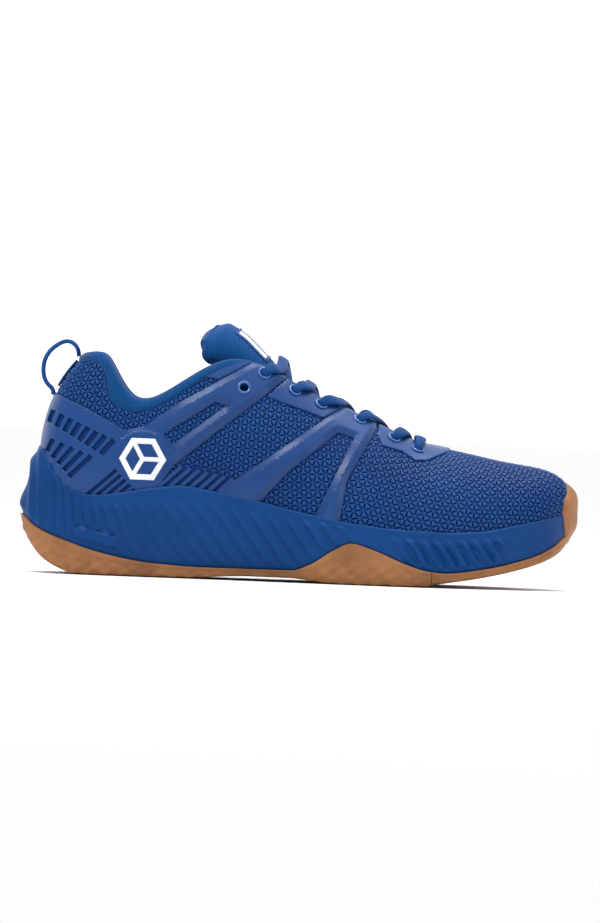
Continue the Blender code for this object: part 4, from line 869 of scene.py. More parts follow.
def bump(made, shader, height, strength, distance):
    """Adds a bump, distance in metres, on top of any the shader has."""
    node = add_node(made, "ShaderNodeBump", {"Strength": strength, "Distance": distance})
    link(made, height, node.inputs["Height"])
    normal = shader.inputs["Normal"]
    if normal.is_linked:
        link(made, normal.links[0].from_socket, node.inputs["Normal"])
    link(made, node.outputs["Normal"], normal)


# ---------------------------------------------------------------- sole
GROUND, FOAM_EDGE, FOOTBED = steady(GROUND_CURVE), steady(FOAM_EDGE_CURVE), steady(FOOTBED_CURVE)
GUM = {LATERAL: steady(GUM_CURVE_LATERAL), MEDIAL: steady(GUM_CURVE_MEDIAL)}
PLAN = rail([(*row, 0) for row in SOLE_PLAN])


def crossing(gap, at):
    """Where each row of `gap` first rises through zero, by interpolation along `at`."""
    first = np.clip(np.argmax(gap > 0, axis=1), 1, len(at) - 1)
    rows = np.arange(len(gap))
    low, high = gap[rows, first - 1], gap[rows, first]
    return at[first - 1] + (at[first] - at[first - 1]) * np.clip(-low / (high - low), 0, 1)


class SoleSide:
    """The sole's outer wall on one side, at many columns from heel centre to toe centre."""

    def __init__(self, side, columns):
        self.side, self.s = side, columns
        t = np.linspace(0.02, 0.7, 137)
        seen = upper_point(columns[:, None], t[None], side)
        self.rim_t = crossing(seen[..., 2] - FOAM_EDGE(seen[..., 0]), t)
        plan = self.outline(columns)
        ahead, behind = self.outline(columns + 0.01), self.outline(columns - 0.01)
        along = ahead - behind
        self.normal = unit(np.stack([along[:, 1], -along[:, 0]], axis=1) * -side)
        rim_width = 1.3 + 1.3 * ease(columns, 0.08, 0.25) * (1 - ease(columns, 0.8, 0.95))
        self.top = shell_point(columns, self.rim_t, side, RIM_GAP + rim_width)
        bulge = (ease(plan[:, 0], 10, 50) * (1 - ease(plan[:, 0], 240, 280)))[:, None]
        foot = plan - self.normal * 3.0 * bulge
        self.foot = np.column_stack([foot, GROUND(foot[:, 0])])
        rise = self.top[:, 2] - self.foot[:, 2]
        self.low = np.column_stack([plan + self.normal * 1.2 * bulge, self.foot[:, 2] + 0.3 * rise])
        high = self.top[:, :2] + (plan - self.top[:, :2]) * 0.45
        self.high = np.column_stack([high, self.foot[:, 2] + 0.74 * rise])
        h = np.linspace(0.01, 0.9, 90)
        points = self.wall(h[None])
        self.gum_h = crossing(points[..., 2] - GUM[side](points[..., 0]), h)

    def outline(self, s):
        """Plan outline at s, mirrored beyond the heel's and the toe's middle."""
        inside_s = np.where(s < 0, -s, np.where(s > 1, 2 - s, s))
        x = PLAN["x"](inside_s)
        way = np.where((s < 0) | (s > 1), -self.side, self.side)
        return np.stack([x, centre_line(x) + way * PLAN[self.side](inside_s)], axis=-1)

    def wall(self, h, grow=0.0):
        """Wall points; h is one row of values, or one row for each column."""
        h = np.broadcast_to(h, (len(self.s), np.shape(h)[-1]))[..., None]
        parts = (self.foot, self.low, self.high, self.top)
        weights = ((1 - h) ** 3, 3 * h * (1 - h) ** 2, 3 * h * h * (1 - h), h**3)
        point = sum(w * part[:, None] for w, part in zip(weights, parts))
        grow = np.broadcast_to(grow, point.shape[:2])
        point[..., :2] += self.normal[:, None] * grow[..., None]
        return point


SOLE_COLUMNS = np.concatenate(
    [np.linspace(0, 0.06, 19)[:-1], np.linspace(0.06, 0.93, 231)[:-1], np.linspace(0.93, 1, 27)]
)
SOLE = {side: SoleSide(side, SOLE_COLUMNS) for side in SIDES}


def flute_phase(x, z):
    """How many flutes lie behind a place of the midsole's wall. They stand upright at the heel and lean
    forward, going down, from the arch to the toe."""
    place = x + FLUTE_LEAN * ease(x, 4, 85) * (z - 20)
    knots = np.linspace(-20, 320, 341)
    pitch = np.interp(knots, *np.array(FLUTE_PITCH).T)
    return np.interp(place, knots, np.cumsum(1 / pitch))


def capsule_distance(x, z):
    """Distance to the blank raised capsule on the lateral side of the heel, negative inside it."""
    run = np.array([math.cos(CAPSULE_TILT), math.sin(CAPSULE_TILT)])
    along = (x - CAPSULE_CENTRE[0]) * run[0] + (z - CAPSULE_CENTRE[1]) * run[1]
    off = -(x - CAPSULE_CENTRE[0]) * run[1] + (z - CAPSULE_CENTRE[1]) * run[0]
    past = along - np.clip(along, -CAPSULE_HALF_LENGTH, CAPSULE_HALF_LENGTH)
    return np.hypot(past, off) - CAPSULE_RADIUS


def flute_depth(points, share, side):
    """How far the midsole's wall stands out: fine crested flutes that fade towards its edges."""
    x, z = points[..., 0], points[..., 2]
    phase = flute_phase(x, z) % 1
    crest = (0.5 - 0.5 * np.cos(math.tau * phase)) ** 2.2
    waves = 0.5 - 0.5 * np.cos(math.tau * phase)
    front = ease(x, 185, 205)
    depth = FLUTE_HEIGHT * crest * (1 - front) + WAVE_HEIGHT * waves * front
    mask = ease(share, 0.03, 0.16) * (1 - ease(share, 0.66, 0.86) * ease(x, 22, 50)) * (1 - ease(x, 252, 264))
    mask *= 1 - 0.75 * ease(x, 165, 178) * (1 - ease(x, 192, 206))
    if side == LATERAL:
        capsule = capsule_distance(x, z)
        mask *= ease(capsule, 0.1, 1.6)
        return depth * mask + CAPSULE_RISE * (1 - ease(capsule, -0.9, 0.1))
    return depth * mask


def spine(height, columns):
    """The sole's centre line under each column, at height(x)."""
    x = SPINE_REAR + (SPINE_FRONT - SPINE_REAR) * columns
    return np.column_stack([x, centre_line(x), height(x)])


def inwards(edge, height, shares, columns):
    """Rows of points from an edge towards the centre line, at height(x)."""
    middle = spine(height, columns)
    rows = []
    for share in shares:
        row = edge + (middle - edge) * share
        row[:, 2] = height(row[:, 0])
        rows.append(row)
    return rows


def round_solid(name, sides, finish):
    """A closed ring-shaped solid from each side's (columns, profile, 3) points."""
    lateral, medial = sides[LATERAL], sides[MEDIAL]
    points = np.concatenate([lateral, medial[-2:0:-1]])
    faces = grid_faces(*points.shape[:2], wrap_rows=True)
    return add_piece(name, points.reshape(-1, 3), faces, finish, sharp=50)


def midsole(finish):
    """The foam cup with its flutes, its rolled rim and its seat for the upper."""
    sides = {}
    for side in SIDES:
        sole = SOLE[side]
        h_gum = sole.gum_h[:, None]
        share = np.linspace(0, 1, 42)[None]
        wall_h = h_gum + (1 - h_gum) * share
        points = sole.wall(wall_h)
        depth = flute_depth(points, share, side)
        points = sole.wall(wall_h, depth - 0.5 * (1 - ease(share, 0, 0.05)))
        rim_up = sole.top - sole.wall(np.array([[0.93]]))[:, 0]
        inner = shell_point(sole.s, sole.rim_t, side, 0.15)
        middle = (points[:, -1] + inner) / 2
        radius = np.linalg.norm(inner - points[:, -1], axis=1, keepdims=True) / 2
        out, up = points[:, -1] - middle, unit(rim_up) * radius
        turns = np.radians(np.arange(30, 181, 30))
        roll = [middle + out * math.cos(a) + up * math.sin(a) * 0.9 for a in turns]
        cup = []
        for part in (0.8, 0.5, 0.1):
            cup.append(shell_point(sole.s, sole.rim_t * part, side, 0.15 - 0.5 * (1 - part)))
        bed = inwards(cup[-1], lambda x: FOOTBED(x) - 0.9, (0.5, 1.0), sole.s)
        under = sole.wall(h_gum[:, :1] * 0.9, -2.2)[:, 0]
        floor = inwards(under, lambda x: GROUND(x) + 3.0, (0.3, 0.7, 1.0), sole.s)
        profile = floor[::-1] + [under] + [points[:, k] for k in range(points.shape[1])] + roll + cup + bed
        sides[side] = np.stack(profile, axis=1)
    return round_solid("midsole_foam", sides, finish)


def gum_relief(points, share):
    """How far the gum's wall stands out: a plain lip along the top, shallow facets below it."""
    x, z = points[..., 0], points[..., 2]
    forward = np.cos(math.tau * (x + 0.9 * z) / GUM_FACET)
    facets = forward + np.cos(math.tau * (x - 1.3 * z) / (GUM_FACET * 0.83))
    lip = 0.35 + 0.6 * ease(share, 0.74, 0.82)
    return lip + GUM_RELIEF * facets * (1 - ease(share, 0.6, 0.76)) * ease(share, 0, 0.2)


def tread_depth(x, y):
    """Depth of the tread's grooves: herringbone under the ball and heel, a smooth bridge under the arch."""
    off = y - centre_line(x)
    zigzag = x + 0.62 * np.abs(((off + 60) % 24) - 12)
    groove = 1 - ease(abs((zigzag % TREAD_PITCH) - TREAD_PITCH / 2), 0.7, 1.5)
    split = 1 - ease(abs(abs(off) - 15), 0.8, 1.7)
    ends = 1 - ease(x, 96, 110) * (1 - ease(x, 140, 152))
    return TREAD_GROOVE * np.maximum(groove, split) * ends


def outsole(finish):
    """The gum outsole: side wall, tread and the seat for the midsole, cut in two across the forefoot."""
    walls, outline = [], []
    for side in SIDES:
        sole = SOLE[side]
        share = np.linspace(0, 1, 15)[None]
        wall_h = sole.gum_h[:, None] * share
        scallop = 1 - ease(share, 0, 0.35)
        points = sole.wall(wall_h)
        points = sole.wall(wall_h, gum_relief(points, share) - 0.5 * (1 - ease(share, 0, 0.12)))
        x = points[..., 0]
        waves = 0.5 - 0.5 * np.cos(math.tau * x / SCALLOP_PITCH)
        points[..., 2] += SCALLOP_HEIGHT * scallop * waves * ease(x, 5, 25)
        inner = sole.wall(sole.gum_h[:, None], -2.4)[:, 0]
        seat = sole.wall(sole.gum_h[:, None] * 0.8, -3.6)[:, 0]
        rows = [points[:, k] for k in range(points.shape[1])] + [inner, seat]
        rows += inwards(seat, lambda x: GROUND(x) + 2.6, (0.4, 1.0), sole.s)
        walls.append(np.stack(rows, axis=1))
        outline.append(points[:, 0])
    ring = np.concatenate([walls[0], walls[1][-2:0:-1]])
    vertices, faces = ring.reshape(-1, 3), grid_faces(*ring.shape[:2], wrap_rows=True)
    edge = np.concatenate([outline[0], outline[1][-2:0:-1]])
    flat, triangles = triangulate(edge[:, :2], [], (), TREAD_STEP)
    tread = np.column_stack([flat, GROUND(flat[:, 0])])
    gap = edge_distance(flat, [edge[:, :2]])
    tread[:, 2] += tread_depth(flat[:, 0], flat[:, 1]) * ease(gap, 2.2, 3.2)
    on_edge = gap < 1e-3
    for number in np.flatnonzero(on_edge):
        tread[number] = edge[np.argmin(((edge[:, :2] - flat[number]) ** 2).sum(axis=1))]
    faces += (triangles + len(vertices)).tolist()
    vertices = np.concatenate([vertices, tread])
    whole = add_piece("outsole_rear_gum", vertices, faces, finish, sharp=45)
    front = whole.copy()
    front.data = whole.data.copy()
    front.name = "outsole_forefoot_gum"
    bpy.context.scene.collection.objects.link(front)
    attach(front, "shoe")
    for piece, way in ((whole, -1), (front, 1)):
        build = bmesh.new()
        build.from_mesh(piece.data)
        place = Vector(world((OUTSOLE_SPLIT + 0.15 * way, 0, 0)))
        everything = build.verts[:] + build.edges[:] + build.faces[:]
        plane = {"plane_co": place, "plane_no": (-way, 0, 0)}
        cut = bmesh.ops.bisect_plane(build, geom=everything, clear_outer=True, **plane)
        edges = [e for e in cut["geom_cut"] if isinstance(e, bmesh.types.BMEdge)]
        bmesh.ops.triangle_fill(build, edges=edges, use_beauty=True)
        bmesh.ops.recalc_face_normals(build, faces=build.faces)
        build.to_mesh(piece.data)
        build.free()
    return whole, front


def toe_bumper(finish):
    """The gum cap that climbs the toe."""
    columns = np.linspace(BUMPER_START, 1, 28)
    outer, inner = {}, {}
    for side in SIDES:
        sole = SoleSide(side, columns)
        fade = ease(columns, BUMPER_START, 1)[:, None]
        top_t = (sole.rim_t + (BUMPER_TOP_T - sole.rim_t) * (0.45 + 0.55 * fade[:, 0]))[:, None]
        low_h = sole.gum_h[:, None] * np.linspace(0.1, 0.9, 6)[None]
        mid_h = sole.gum_h[:, None] + (1 - sole.gum_h[:, None]) * np.linspace(0, 1, 12)[None]
        t = sole.rim_t[:, None] + 0.02 + (top_t - sole.rim_t[:, None] - 0.02) * np.linspace(0, 1, 14)[None]
        above = shell_point(np.broadcast_to(columns[:, None], t.shape), t, side, 0.2)
        rows = np.concatenate([sole.wall(low_h, -0.8), sole.wall(mid_h, -0.2), above], axis=1)
        v = np.linspace(0, 1, rows.shape[1])[None]
        width = (1.2 + 3.6 * ease(v, 0, 0.3) - 1.9 * ease(v, 0.7, 1)) * (0.6 + 0.4 * fade)
        width = width * np.sqrt(np.clip(1 - ((v - 0.93) / 0.07).clip(0, 1) ** 2, 0.06, 1))
        width = width * np.sqrt(np.clip(1 - (1 - fade / 0.05).clip(0, 1) ** 2, 0.06, 1))
        normal = np.column_stack([sole.normal, np.zeros(len(columns))])[:, None]
        face = rows + normal * width[..., None]
        for _ in range(BUMPER_SMOOTHING):
            face[:, 1:-1] = (face[:, :-2] + 2 * face[:, 1:-1] + face[:, 2:]) / 4
        outer[side], inner[side] = face, rows
    top = np.concatenate([outer[LATERAL], outer[MEDIAL][-2::-1]])
    low = np.concatenate([inner[LATERAL], inner[MEDIAL][-2::-1]])
    return add_piece("toe_bumper_gum", *grid_sheet(top, low), finish, sharp=50)


# ---------------------------------------------------------------- collar, lining and insole
def lining_depth(s, t):
    """Depth of the lining's outer face: clear of the heel counter, the collar foam and the toe puff."""
    counter = 1.6 * (1 - ease(s, 0.22, 0.30)) * (1 - ease(t, 0.5, 0.66))
    puff = 1.3 * ease(s, 0.80, 0.86)
    pad = (COLLAR_PAD - 2.5) * (1 - ease(s, COLLAR_FRONT - 0.12, COLLAR_FRONT)) * ease(t, 0.55, 0.84)
    return UPPER_THICKNESS + LAYER_GAP + counter + puff + pad


def side_rows(s_from, s_to, count):
    """(s, side) columns from the lateral side round the heel to the medial side."""
    values = np.linspace(s_from, s_to, count)
    return np.concatenate([values[::-1], values[1:]]), np.repeat([LATERAL, MEDIAL], [count, count - 1])


def collar(finish):
    """The padded knit collar: out from under the film, round the topline and down inside the shoe."""
    s, side = side_rows(0, COLLAR_FRONT + 0.012, 150)
    s, side = s[:, None], side[:, None]
    swell = 1 - ease(s, COLLAR_FRONT - 0.1, COLLAR_FRONT + 0.01)
    low = band_edge(s) - 0.012
    rise = np.linspace(0, 1, 12)[None]
    t_out = low + (1 - low) * rise
    full = (1.2 + 1.1 * swell) * np.sin(math.pi / 2 * np.clip(rise * 1.6, 0, 1))
    outer = on_shell(s, t_out, side, -0.5 + full)
    t_in = 1 - (1 - LINING_TOP_T) * np.linspace(0, 1, 26)[None]
    depth = lining_depth(s, t_in) + LINING_THICKNESS
    plump = 1.4 * swell * np.sin(math.pi * np.clip((t_in - 0.62) / 0.38, 0, 1))
    inner = on_shell(s, t_in, side, -depth - plump)
    start, end = outer[:, -1], inner[:, 0]
    up = unit(on_shell(s, 1.0, side, 0) - on_shell(s, 0.96, side, 0))[:, 0]
    middle, half = (start + end) / 2, (end - start) / 2
    radius = np.linalg.norm(half, axis=1, keepdims=True)
    turns = np.radians(np.arange(15, 180, 15))
    roll = [middle - half * math.cos(a) + up * radius * 0.95 * math.sin(a) for a in turns]
    back = on_shell(s, t_in[:, ::-1], side, -depth[:, ::-1] - plump[:, ::-1] + 0.8)
    under = on_shell(s, t_out[:, ::-1], side, -1.1)
    rings = np.concatenate([outer, np.stack(roll, axis=1), inner, back, under], axis=1)
    return add_piece("collar_knit", *closed_tube(rings), finish, sharp=60)


def lining(finish):
    """The knit lining of the whole shoe below the collar, as a thin closed skin."""
    s_line = np.linspace(0, 1, 150)
    grids = []
    for depth_more in (0.0, LINING_THICKNESS):
        halves = []
        for side in SIDES:
            s = s_line[:, None]
            past_collar = ease(s, COLLAR_FRONT - 0.02, COLLAR_FRONT + 0.02)
            top = LINING_TOP_T + 0.004 + (0.985 - LINING_TOP_T) * past_collar
            t = 0.04 + (top - 0.04) * np.linspace(0, 1, 24)[None]
            halves.append(on_shell(s, t, np.full_like(s, side), -lining_depth(s, t) - depth_more))
        grids.append(np.concatenate([halves[0][::-1], halves[1][1:]]))
    return add_piece("lining_knit", *grid_sheet(*grids), finish, sharp=60)


def insole(finish):
    """The sockliner: a cushioned sheet with a rounded edge that turns up round the heel."""
    sides = {}
    columns = np.linspace(0, 1, 181)
    for side in SIDES:
        edge = shell_point(columns, 0.0, side, -5.0)
        cup = 2.2 * (1 - ease(columns, 0.15, 0.4)) + 0.6
        rows = inwards(edge, lambda x: FOOTBED(x) + INSOLE_TOP, (1.0, 0.75, 0.5, 0.3, 0.16, 0.07), columns)
        for row, lift in zip(rows[2:], (0.1, 0.3, 0.62, 0.9)):
            row[:, 2] += cup * lift
        rim = [edge + np.column_stack([0 * columns, 0 * columns, cup + z]) for z in (INSOLE_TOP, 4.6, 3.6)]
        rim[0][:, :2] += (spine(FOOTBED, columns) - edge)[:, :2] * 0.02
        low = [edge + np.array([0, 0, INSOLE_UNDER])]
        low += inwards(edge, lambda x: FOOTBED(x) + INSOLE_UNDER, (0.3, 1.0), columns)
        sides[side] = np.stack(rows + rim + low, axis=1)
    return round_solid("insole_knit", sides, finish)


# ---------------------------------------------------------------- heel details
def slot_outline(start, end, half_width, side):
    """A slot between two side-view places, as a u, v outline."""
    start, end = np.array(start, float), np.array(end, float)
    run = unit(end - start) * half_width
    off = np.array([-run[1], run[0]])
    corners = [start - off, end - off, end + off, start + off]
    return laid_flat(dense(corners, 1.5), side)


def heel_slots(side):
    """Two rows of leaning slots at the back of the cage and the diagonals in front of them."""
    out = []
    for k in range(8):
        share = k / 7
        x, z = 15.2 + 29.6 * share, 82.4 - 15.0 * share
        lean, half = 1.0 + 2.3 * share, 3.2 + 0.6 * share
        out.append(slot_outline((x - lean, z - half), (x + lean, z + half), 1.45, side))
    for k in range(5):
        share = k / 4
        x, z = 15.0 + 16.0 * share, 67.2 - 10.4 * share
        run = np.array([1.5 + 4.2 * share, 3.3 + 2.4 * share])
        out.append(slot_outline((x, z) - run, (x, z) + run, 1.3, side))
    for k in range(5):
        start = np.array([34.5 + 5.2 * k, 41.2])
        reach = 15.5 - 2.7 * k
        out.append(slot_outline(start, start + (reach, reach * 0.92), 0.85, side))
    return out


def arch_ribs(side):
    """Raised diagonal ribs on the film between the strap and the midsole's crest."""
    ribs = []
    for k in range(7):
        end = np.array([84.5 + 4.6 * k, 58.8 - 0.9 * k])
        reach = 12.0 - 0.7 * k
        ribs.append((slot_outline(end - (reach, reach * 0.95), end, 1.05, side), []))
    return ribs


def badge_shape(radius, turn, sides, centre):
    angles = np.radians(turn) + np.arange(sides) * math.tau / sides
    return [(centre[0] + radius * math.cos(a), centre[1] + radius * math.sin(a)) for a in angles]


def emblem(finish):
    """A plain hexagon with three spokes."""
    outline = dense(badge_shape(EMBLEM_RADIUS, 0, 6, EMBLEM_CENTRE), 2)
    holes = []
    inner = EMBLEM_RADIUS - EMBLEM_BAND
    for k in range(3):
        angles = np.radians(120 * k + np.array([0, 60, 120]))
        corners = [(0, 0)] + [(inner * math.cos(a), inner * math.sin(a)) for a in angles]
        middle = np.mean(corners, axis=0)
        shrunk = [np.array(EMBLEM_CENTRE) + middle + (np.array(c) - middle) * EMBLEM_OPENING for c in corners]
        holes.append(shrunk)
    flat = [laid_flat(loop, LATERAL) for loop in (outline, *[dense(hole, 2) for hole in holes])]
    heights = {"top": PANEL_TOP + EMBLEM_TOP, "bottom": PANEL_TOP - EMBLEM_BOTTOM}
    return welded_panel("emblem_print", [(flat[0], flat[1:])], finish, spacing=1.2, **heights)


def pull_loop(finish):
    """The heel loop: one band from the back of the heel up, over and down inside its own gap."""
    seen = spline(LOOP_PATH, 260)
    path = np.column_stack([seen[:, 0], np.zeros(len(seen)), seen[:, 1]])
    along = unit(np.gradient(path, axis=0))
    ups = np.cross(along, (0, 1, 0))
    root = np.linalg.norm(path - path[0], axis=1)
    half_width = LOOP_WIDTH / 2 * (0.4 + 0.6 * ease(root, 0.5, 5))
    rings = ribbon(path, ups, half_width, LOOP_THICKNESS / 2)
    return add_piece("pull_loop_webbing", *closed_tube(rings), finish, sharp=60, body="pull_loop")


def back_stay(finish):
    """The webbing strip up the middle of the heel."""
    t = np.linspace(*BACK_STAY_T, 90)
    path = shell_point(0 * t, t, LATERAL, BACK_STAY_HEIGHT)
    ups = shell_normal(0 * t, t, LATERAL)
    rings = ribbon(path, ups, BACK_STAY_HALF_WIDTH, BACK_STAY_THICKNESS / 2)
    return add_piece("back_stay_webbing", *closed_tube(rings), finish, sharp=60)


# ---------------------------------------------------------------- eyelets
def eyelet_frame(index, side):
    s, t = VIEW[side].find(*EYELETS[index])
    return shell_point(s, t, side), shell_normal(np.array(s), np.array(t), side)


def eyelet_lift(index):
    """Height of the panel's face round an eyelet."""
    return PANEL_TOP + (EYELET_RISE if index < 2 or index == 4 else 0)


def eyelet(index, side, finish):
    """A moulded ring with a rounded lip, turned about the surface's normal."""
    centre, normal = eyelet_frame(index, side)
    lift = eyelet_lift(index)
    turns = np.linspace(-0.9, math.pi + 0.25, 13)
    lip = []
    for a in turns:
        lip.append((EYELET_LIP + EYELET_LIP_WIDTH * math.cos(a), lift + 0.35 + EYELET_LIP_RISE * math.sin(a)))
    tail, bore = (EYELET_TAIL_RADIUS, EYELET_TAIL), (EYELET_BORE, EYELET_TAIL)
    profile = [tail] + lip + [(EYELET_BORE, lift - 0.4), bore]
    first = unit(np.cross(normal, (0.3, 0.1, 1.0)))
    second = np.cross(normal, first)
    rings = []
    for angle in np.arange(40) * math.tau / 40:
        radial = first * math.cos(angle) + second * math.sin(angle)
        rings.append([centre + radial * r + normal * h for r, h in profile])
    points = np.array(rings)
    faces = grid_faces(*points.shape[:2], wrap_rows=True, wrap_columns=True)
    name = f"eyelet_ring_{SIDE_NAMES[side]}_{index + 1}"
    return add_piece(name, points.reshape(-1, 3), faces, finish, sharp=50)


def punch_eyelets(pieces):
    """Cuts the eyelets' bores through the film, the panels and the lining."""
    build = bmesh.new()
    size = {"segments": 24, "radius1": BORE_RADIUS, "radius2": BORE_RADIUS, "depth": BORE_LENGTH}
    for side in SIDES:
        for index in range(len(EYELETS)):
            centre, normal = eyelet_frame(index, side)
            turn = Vector(normal).to_track_quat("Z", "Y").to_matrix().to_4x4()
            turn.translation = Vector(world(centre))
            bmesh.ops.create_cone(build, cap_ends=True, matrix=turn, **size)
    mesh = bpy.data.meshes.new("bores")
    build.to_mesh(mesh)
    build.free()
    cutter = bpy.data.objects.new("bores", mesh)
    bpy.context.scene.collection.objects.link(cutter)
    for piece in pieces:
        cut = piece.modifiers.new("bores", "BOOLEAN")
        cut.operation, cut.object, cut.solver = "DIFFERENCE", cutter, "EXACT"
        bpy.context.view_layer.update()
        shown = piece.evaluated_get(bpy.context.evaluated_depsgraph_get())
        shape = bpy.data.meshes.new_from_object(shown)
        piece.modifiers.remove(cut)
        piece.data = shape
    bpy.data.objects.remove(cutter)


# ---------------------------------------------------------------- tongue
def tongue_surface(u, arc, depth):
    """The tongue at u (0 base, 1 top) and `arc` mm round from the ridge, `depth` mm in. Arrays."""
    knots = np.linspace(0, 1, len(TONGUE_RIDGE))
    ridge = np.array(TONGUE_RIDGE)
    x, z, radius = (smooth(knots, v) for v in (ridge[:, 0], ridge[:, 1], TONGUE_ARCH_RADIUS))
    near = np.clip(u, 0.01, 0.99)
    along = unit(np.stack([x(near + 0.01) - x(near - 0.01), z(near + 0.01) - z(near - 0.01)], axis=-1))
    outward = np.stack([along[..., 1], -along[..., 0]], axis=-1)
    bend = radius(u)
    drop = bend - (bend - depth) * np.cos(arc / bend)
    place = np.stack([x(u), z(u)], axis=-1) - outward * drop[..., None]
    roll = np.array(TONGUE_ROLL)
    height = np.clip(place[..., 1], *roll[[0, -1], 0])
    back = smooth(roll[:, 0], roll[:, 1])(height) * ease(u, 0.8, 1.0)
    back *= 0.4 + 0.8 * np.clip(depth / TONGUE_TOTAL, 0, 1)
    place[..., 0] -= back
    y = centre_line(x(u)) + (bend - depth) * np.sin(arc / bend)
    return np.stack([place[..., 0], y, place[..., 1]], axis=-1)


def tongue_half_arc(u):
    half_arc = smooth(np.linspace(0, 1, len(TONGUE_HALF_ARC)), TONGUE_HALF_ARC)
    return half_arc(u) * (1 - 0.28 * ease(u, 0.9, 1.0))


def tongue_total(u):
    return TONGUE_BASE_TOTAL + (TONGUE_TOTAL - TONGUE_BASE_TOTAL) * ease(u, 0.15, 0.6)


def tongue_pad(finish):
    """The padded tongue: knit faces round a foam core, full in the middle and pinched at its bound edge."""
    around = np.arange(96) * math.tau / 96
    rings = []
    places = [[0.0, 0.004, 0.012], np.linspace(0.03, 0.965, 90), [0.978, 0.989, 0.996, 1.0]]
    for u in np.concatenate(places):
        top_end = math.sqrt(max(0.02, 1 - max(0.0, (u - 0.955) / 0.045) ** 2))
        end = top_end * math.sqrt(max(0.05, 1 - max(0.0, (0.02 - u) / 0.02) ** 2))
        total = tongue_total(u)
        across = np.sign(np.cos(around)) * abs(np.cos(around)) ** 0.8
        crown = np.sign(np.sin(around)) * abs(np.sin(around)) ** 0.55
        arc = across * (tongue_half_arc(u) - 0.6)
        plump = 0.9 * math.sin(math.pi * min(1, max(0, (u - 0.45) / 0.55))) * (1 - across**2)
        depth = total / 2 - crown * (total / 2 * end + np.where(crown > 0, 0.3, 1.0) * plump)
        rings.append(tongue_surface(np.full_like(arc, u), arc, depth))
    return add_piece("tongue_pad", *closed_tube(rings), finish, sharp=0, body="tongue")


def tongue_binding(finish):
    """A rolled tape round the tongue's free edge."""
    u_side = np.linspace(*BINDING_U, 110)
    half = tongue_half_arc(u_side) - 0.4
    turn = np.linspace(0, math.pi, 60)[1:-1]
    top_half = tongue_half_arc(np.array(0.95)) - 0.4
    u = np.concatenate([u_side, BINDING_U[1] + 0.045 * np.sin(turn), u_side[::-1]])
    arc = np.concatenate([half, np.cos(turn) * top_half * 0.985, -half[::-1]])
    path = tongue_surface(u, arc, tongue_total(u) / 2)
    path = spline(path[::6], 420)
    nowhere = np.zeros(len(path))
    outward = unit(path - tongue_surface(nowhere + 0.6, nowhere, nowhere))
    rings = ribbon(path, outward, BINDING_HALF_WIDTH, BINDING_HALF_HEIGHT, sides=14, square=0.95)
    return add_piece("tongue_binding", *closed_tube(rings), finish, sharp=0, body="tongue")


def tongue_label(finish):
    """A woven label on the front of the tongue: plain white bars on blue."""
    across = np.linspace(-LABEL_HALF_ARC, LABEL_HALF_ARC, 60)
    u, arc = np.meshgrid(np.linspace(*LABEL_U, 40), across, indexing="ij")
    top = tongue_surface(u, arc, -0.85 + 0.5 * (arc / 15) ** 2)
    low = tongue_surface(u, arc, np.full(u.shape, 0.9))
    triangles = grid_triangles(*u.shape)
    vertices, faces = closed_sheet(top.reshape(-1, 3), low.reshape(-1, 3), triangles)
    place_u, place_arc = (v.ravel()[triangles].mean(axis=1) for v in (u, arc))
    bars = (place_arc % LABEL_BAR_PITCH < LABEL_BAR_WIDTH) & (abs(place_arc) < LABEL_BARS_REACH)
    bars &= (place_u > LABEL_BARS_U[0]) & (place_u < LABEL_BARS_U[1])
    slots = [0 if bar else 1 for bar in bars] + [1] * (len(faces) - len(triangles))
    return add_piece("tongue_label_print", vertices, faces, finish, sharp=40, slots=slots, body="tongue")


# ---------------------------------------------------------------- lace
def tongue_height(x, y):
    """Height of the tongue's outer face near x, y."""
    u, share = np.meshgrid(np.linspace(0, 1, 121), np.linspace(-1, 1, 41), indexing="ij")
    points = tongue_surface(u, share * tongue_half_arc(u), np.zeros(u.shape)).reshape(-1, 3)
    return points[np.argmin((points[:, 0] - x) ** 2 + (points[:, 1] - y) ** 2)][2]


def edge_share(x):
    """s where the throat's edge passes x."""
    s = np.linspace(COLLAR_FRONT - 0.1, THROAT_BASE, 200)
    return float(np.interp(x, RAILS[3]["x"](s), s))


def through_eyelet(index, side):
    """Lace stations down through an eyelet, outside first: place, face normal, how bunched."""
    centre, normal = eyelet_frame(index, side)
    lift = eyelet_lift(index)
    return [(centre + normal * h, None, 1.0) for h in (lift + 0.6, lift - 2.0, -3.4)]


def crossing_strand(index, side, level):
    """From out of eyelet `index`, over the tongue, to under the other side's next eyelet forward."""
    start, normal = eyelet_frame(index, side)
    end, end_normal = eyelet_frame(index + 1, -side)
    aim = end - start
    aim = unit(aim - normal * np.dot(aim, normal))
    lift = eyelet_lift(index)
    stations = [(start + normal * (lift + 2.1) + aim * 3.4, normal, 0.45)]
    s_over = edge_share(start[0] * 0.62 + end[0] * 0.38)
    face = shell_normal(np.array(s_over), np.array(0.98), side)
    stations.append((shell_point(s_over, 1.0, side) + face * (PANEL_TOP + 1.9), face, 0.1))
    middle = start * 0.36 + end * 0.64
    middle[1] = centre_line(middle[0])
    middle[2] = tongue_height(middle[0], middle[1]) + 3.4 + LACE_THICKNESS * (0.4 + 1.25 * level)
    stations.append((middle, np.array([0.5, 0, 0.87]), 0.0))
    s_under = edge_share(start[0] * 0.08 + end[0] * 0.92)
    face = shell_normal(np.array(s_under), np.array(0.98), -side)
    depth = float(lining_depth(s_under, 1.0)) + 1.7
    stations.append((shell_point(s_under, 1.0, -side) - face * depth, face, 0.1))
    back = start - end
    back = unit(back - end_normal * np.dot(back, end_normal))
    stations.append((end - end_normal * 5.0 + back * 3.0, end_normal, 0.5))
    return stations


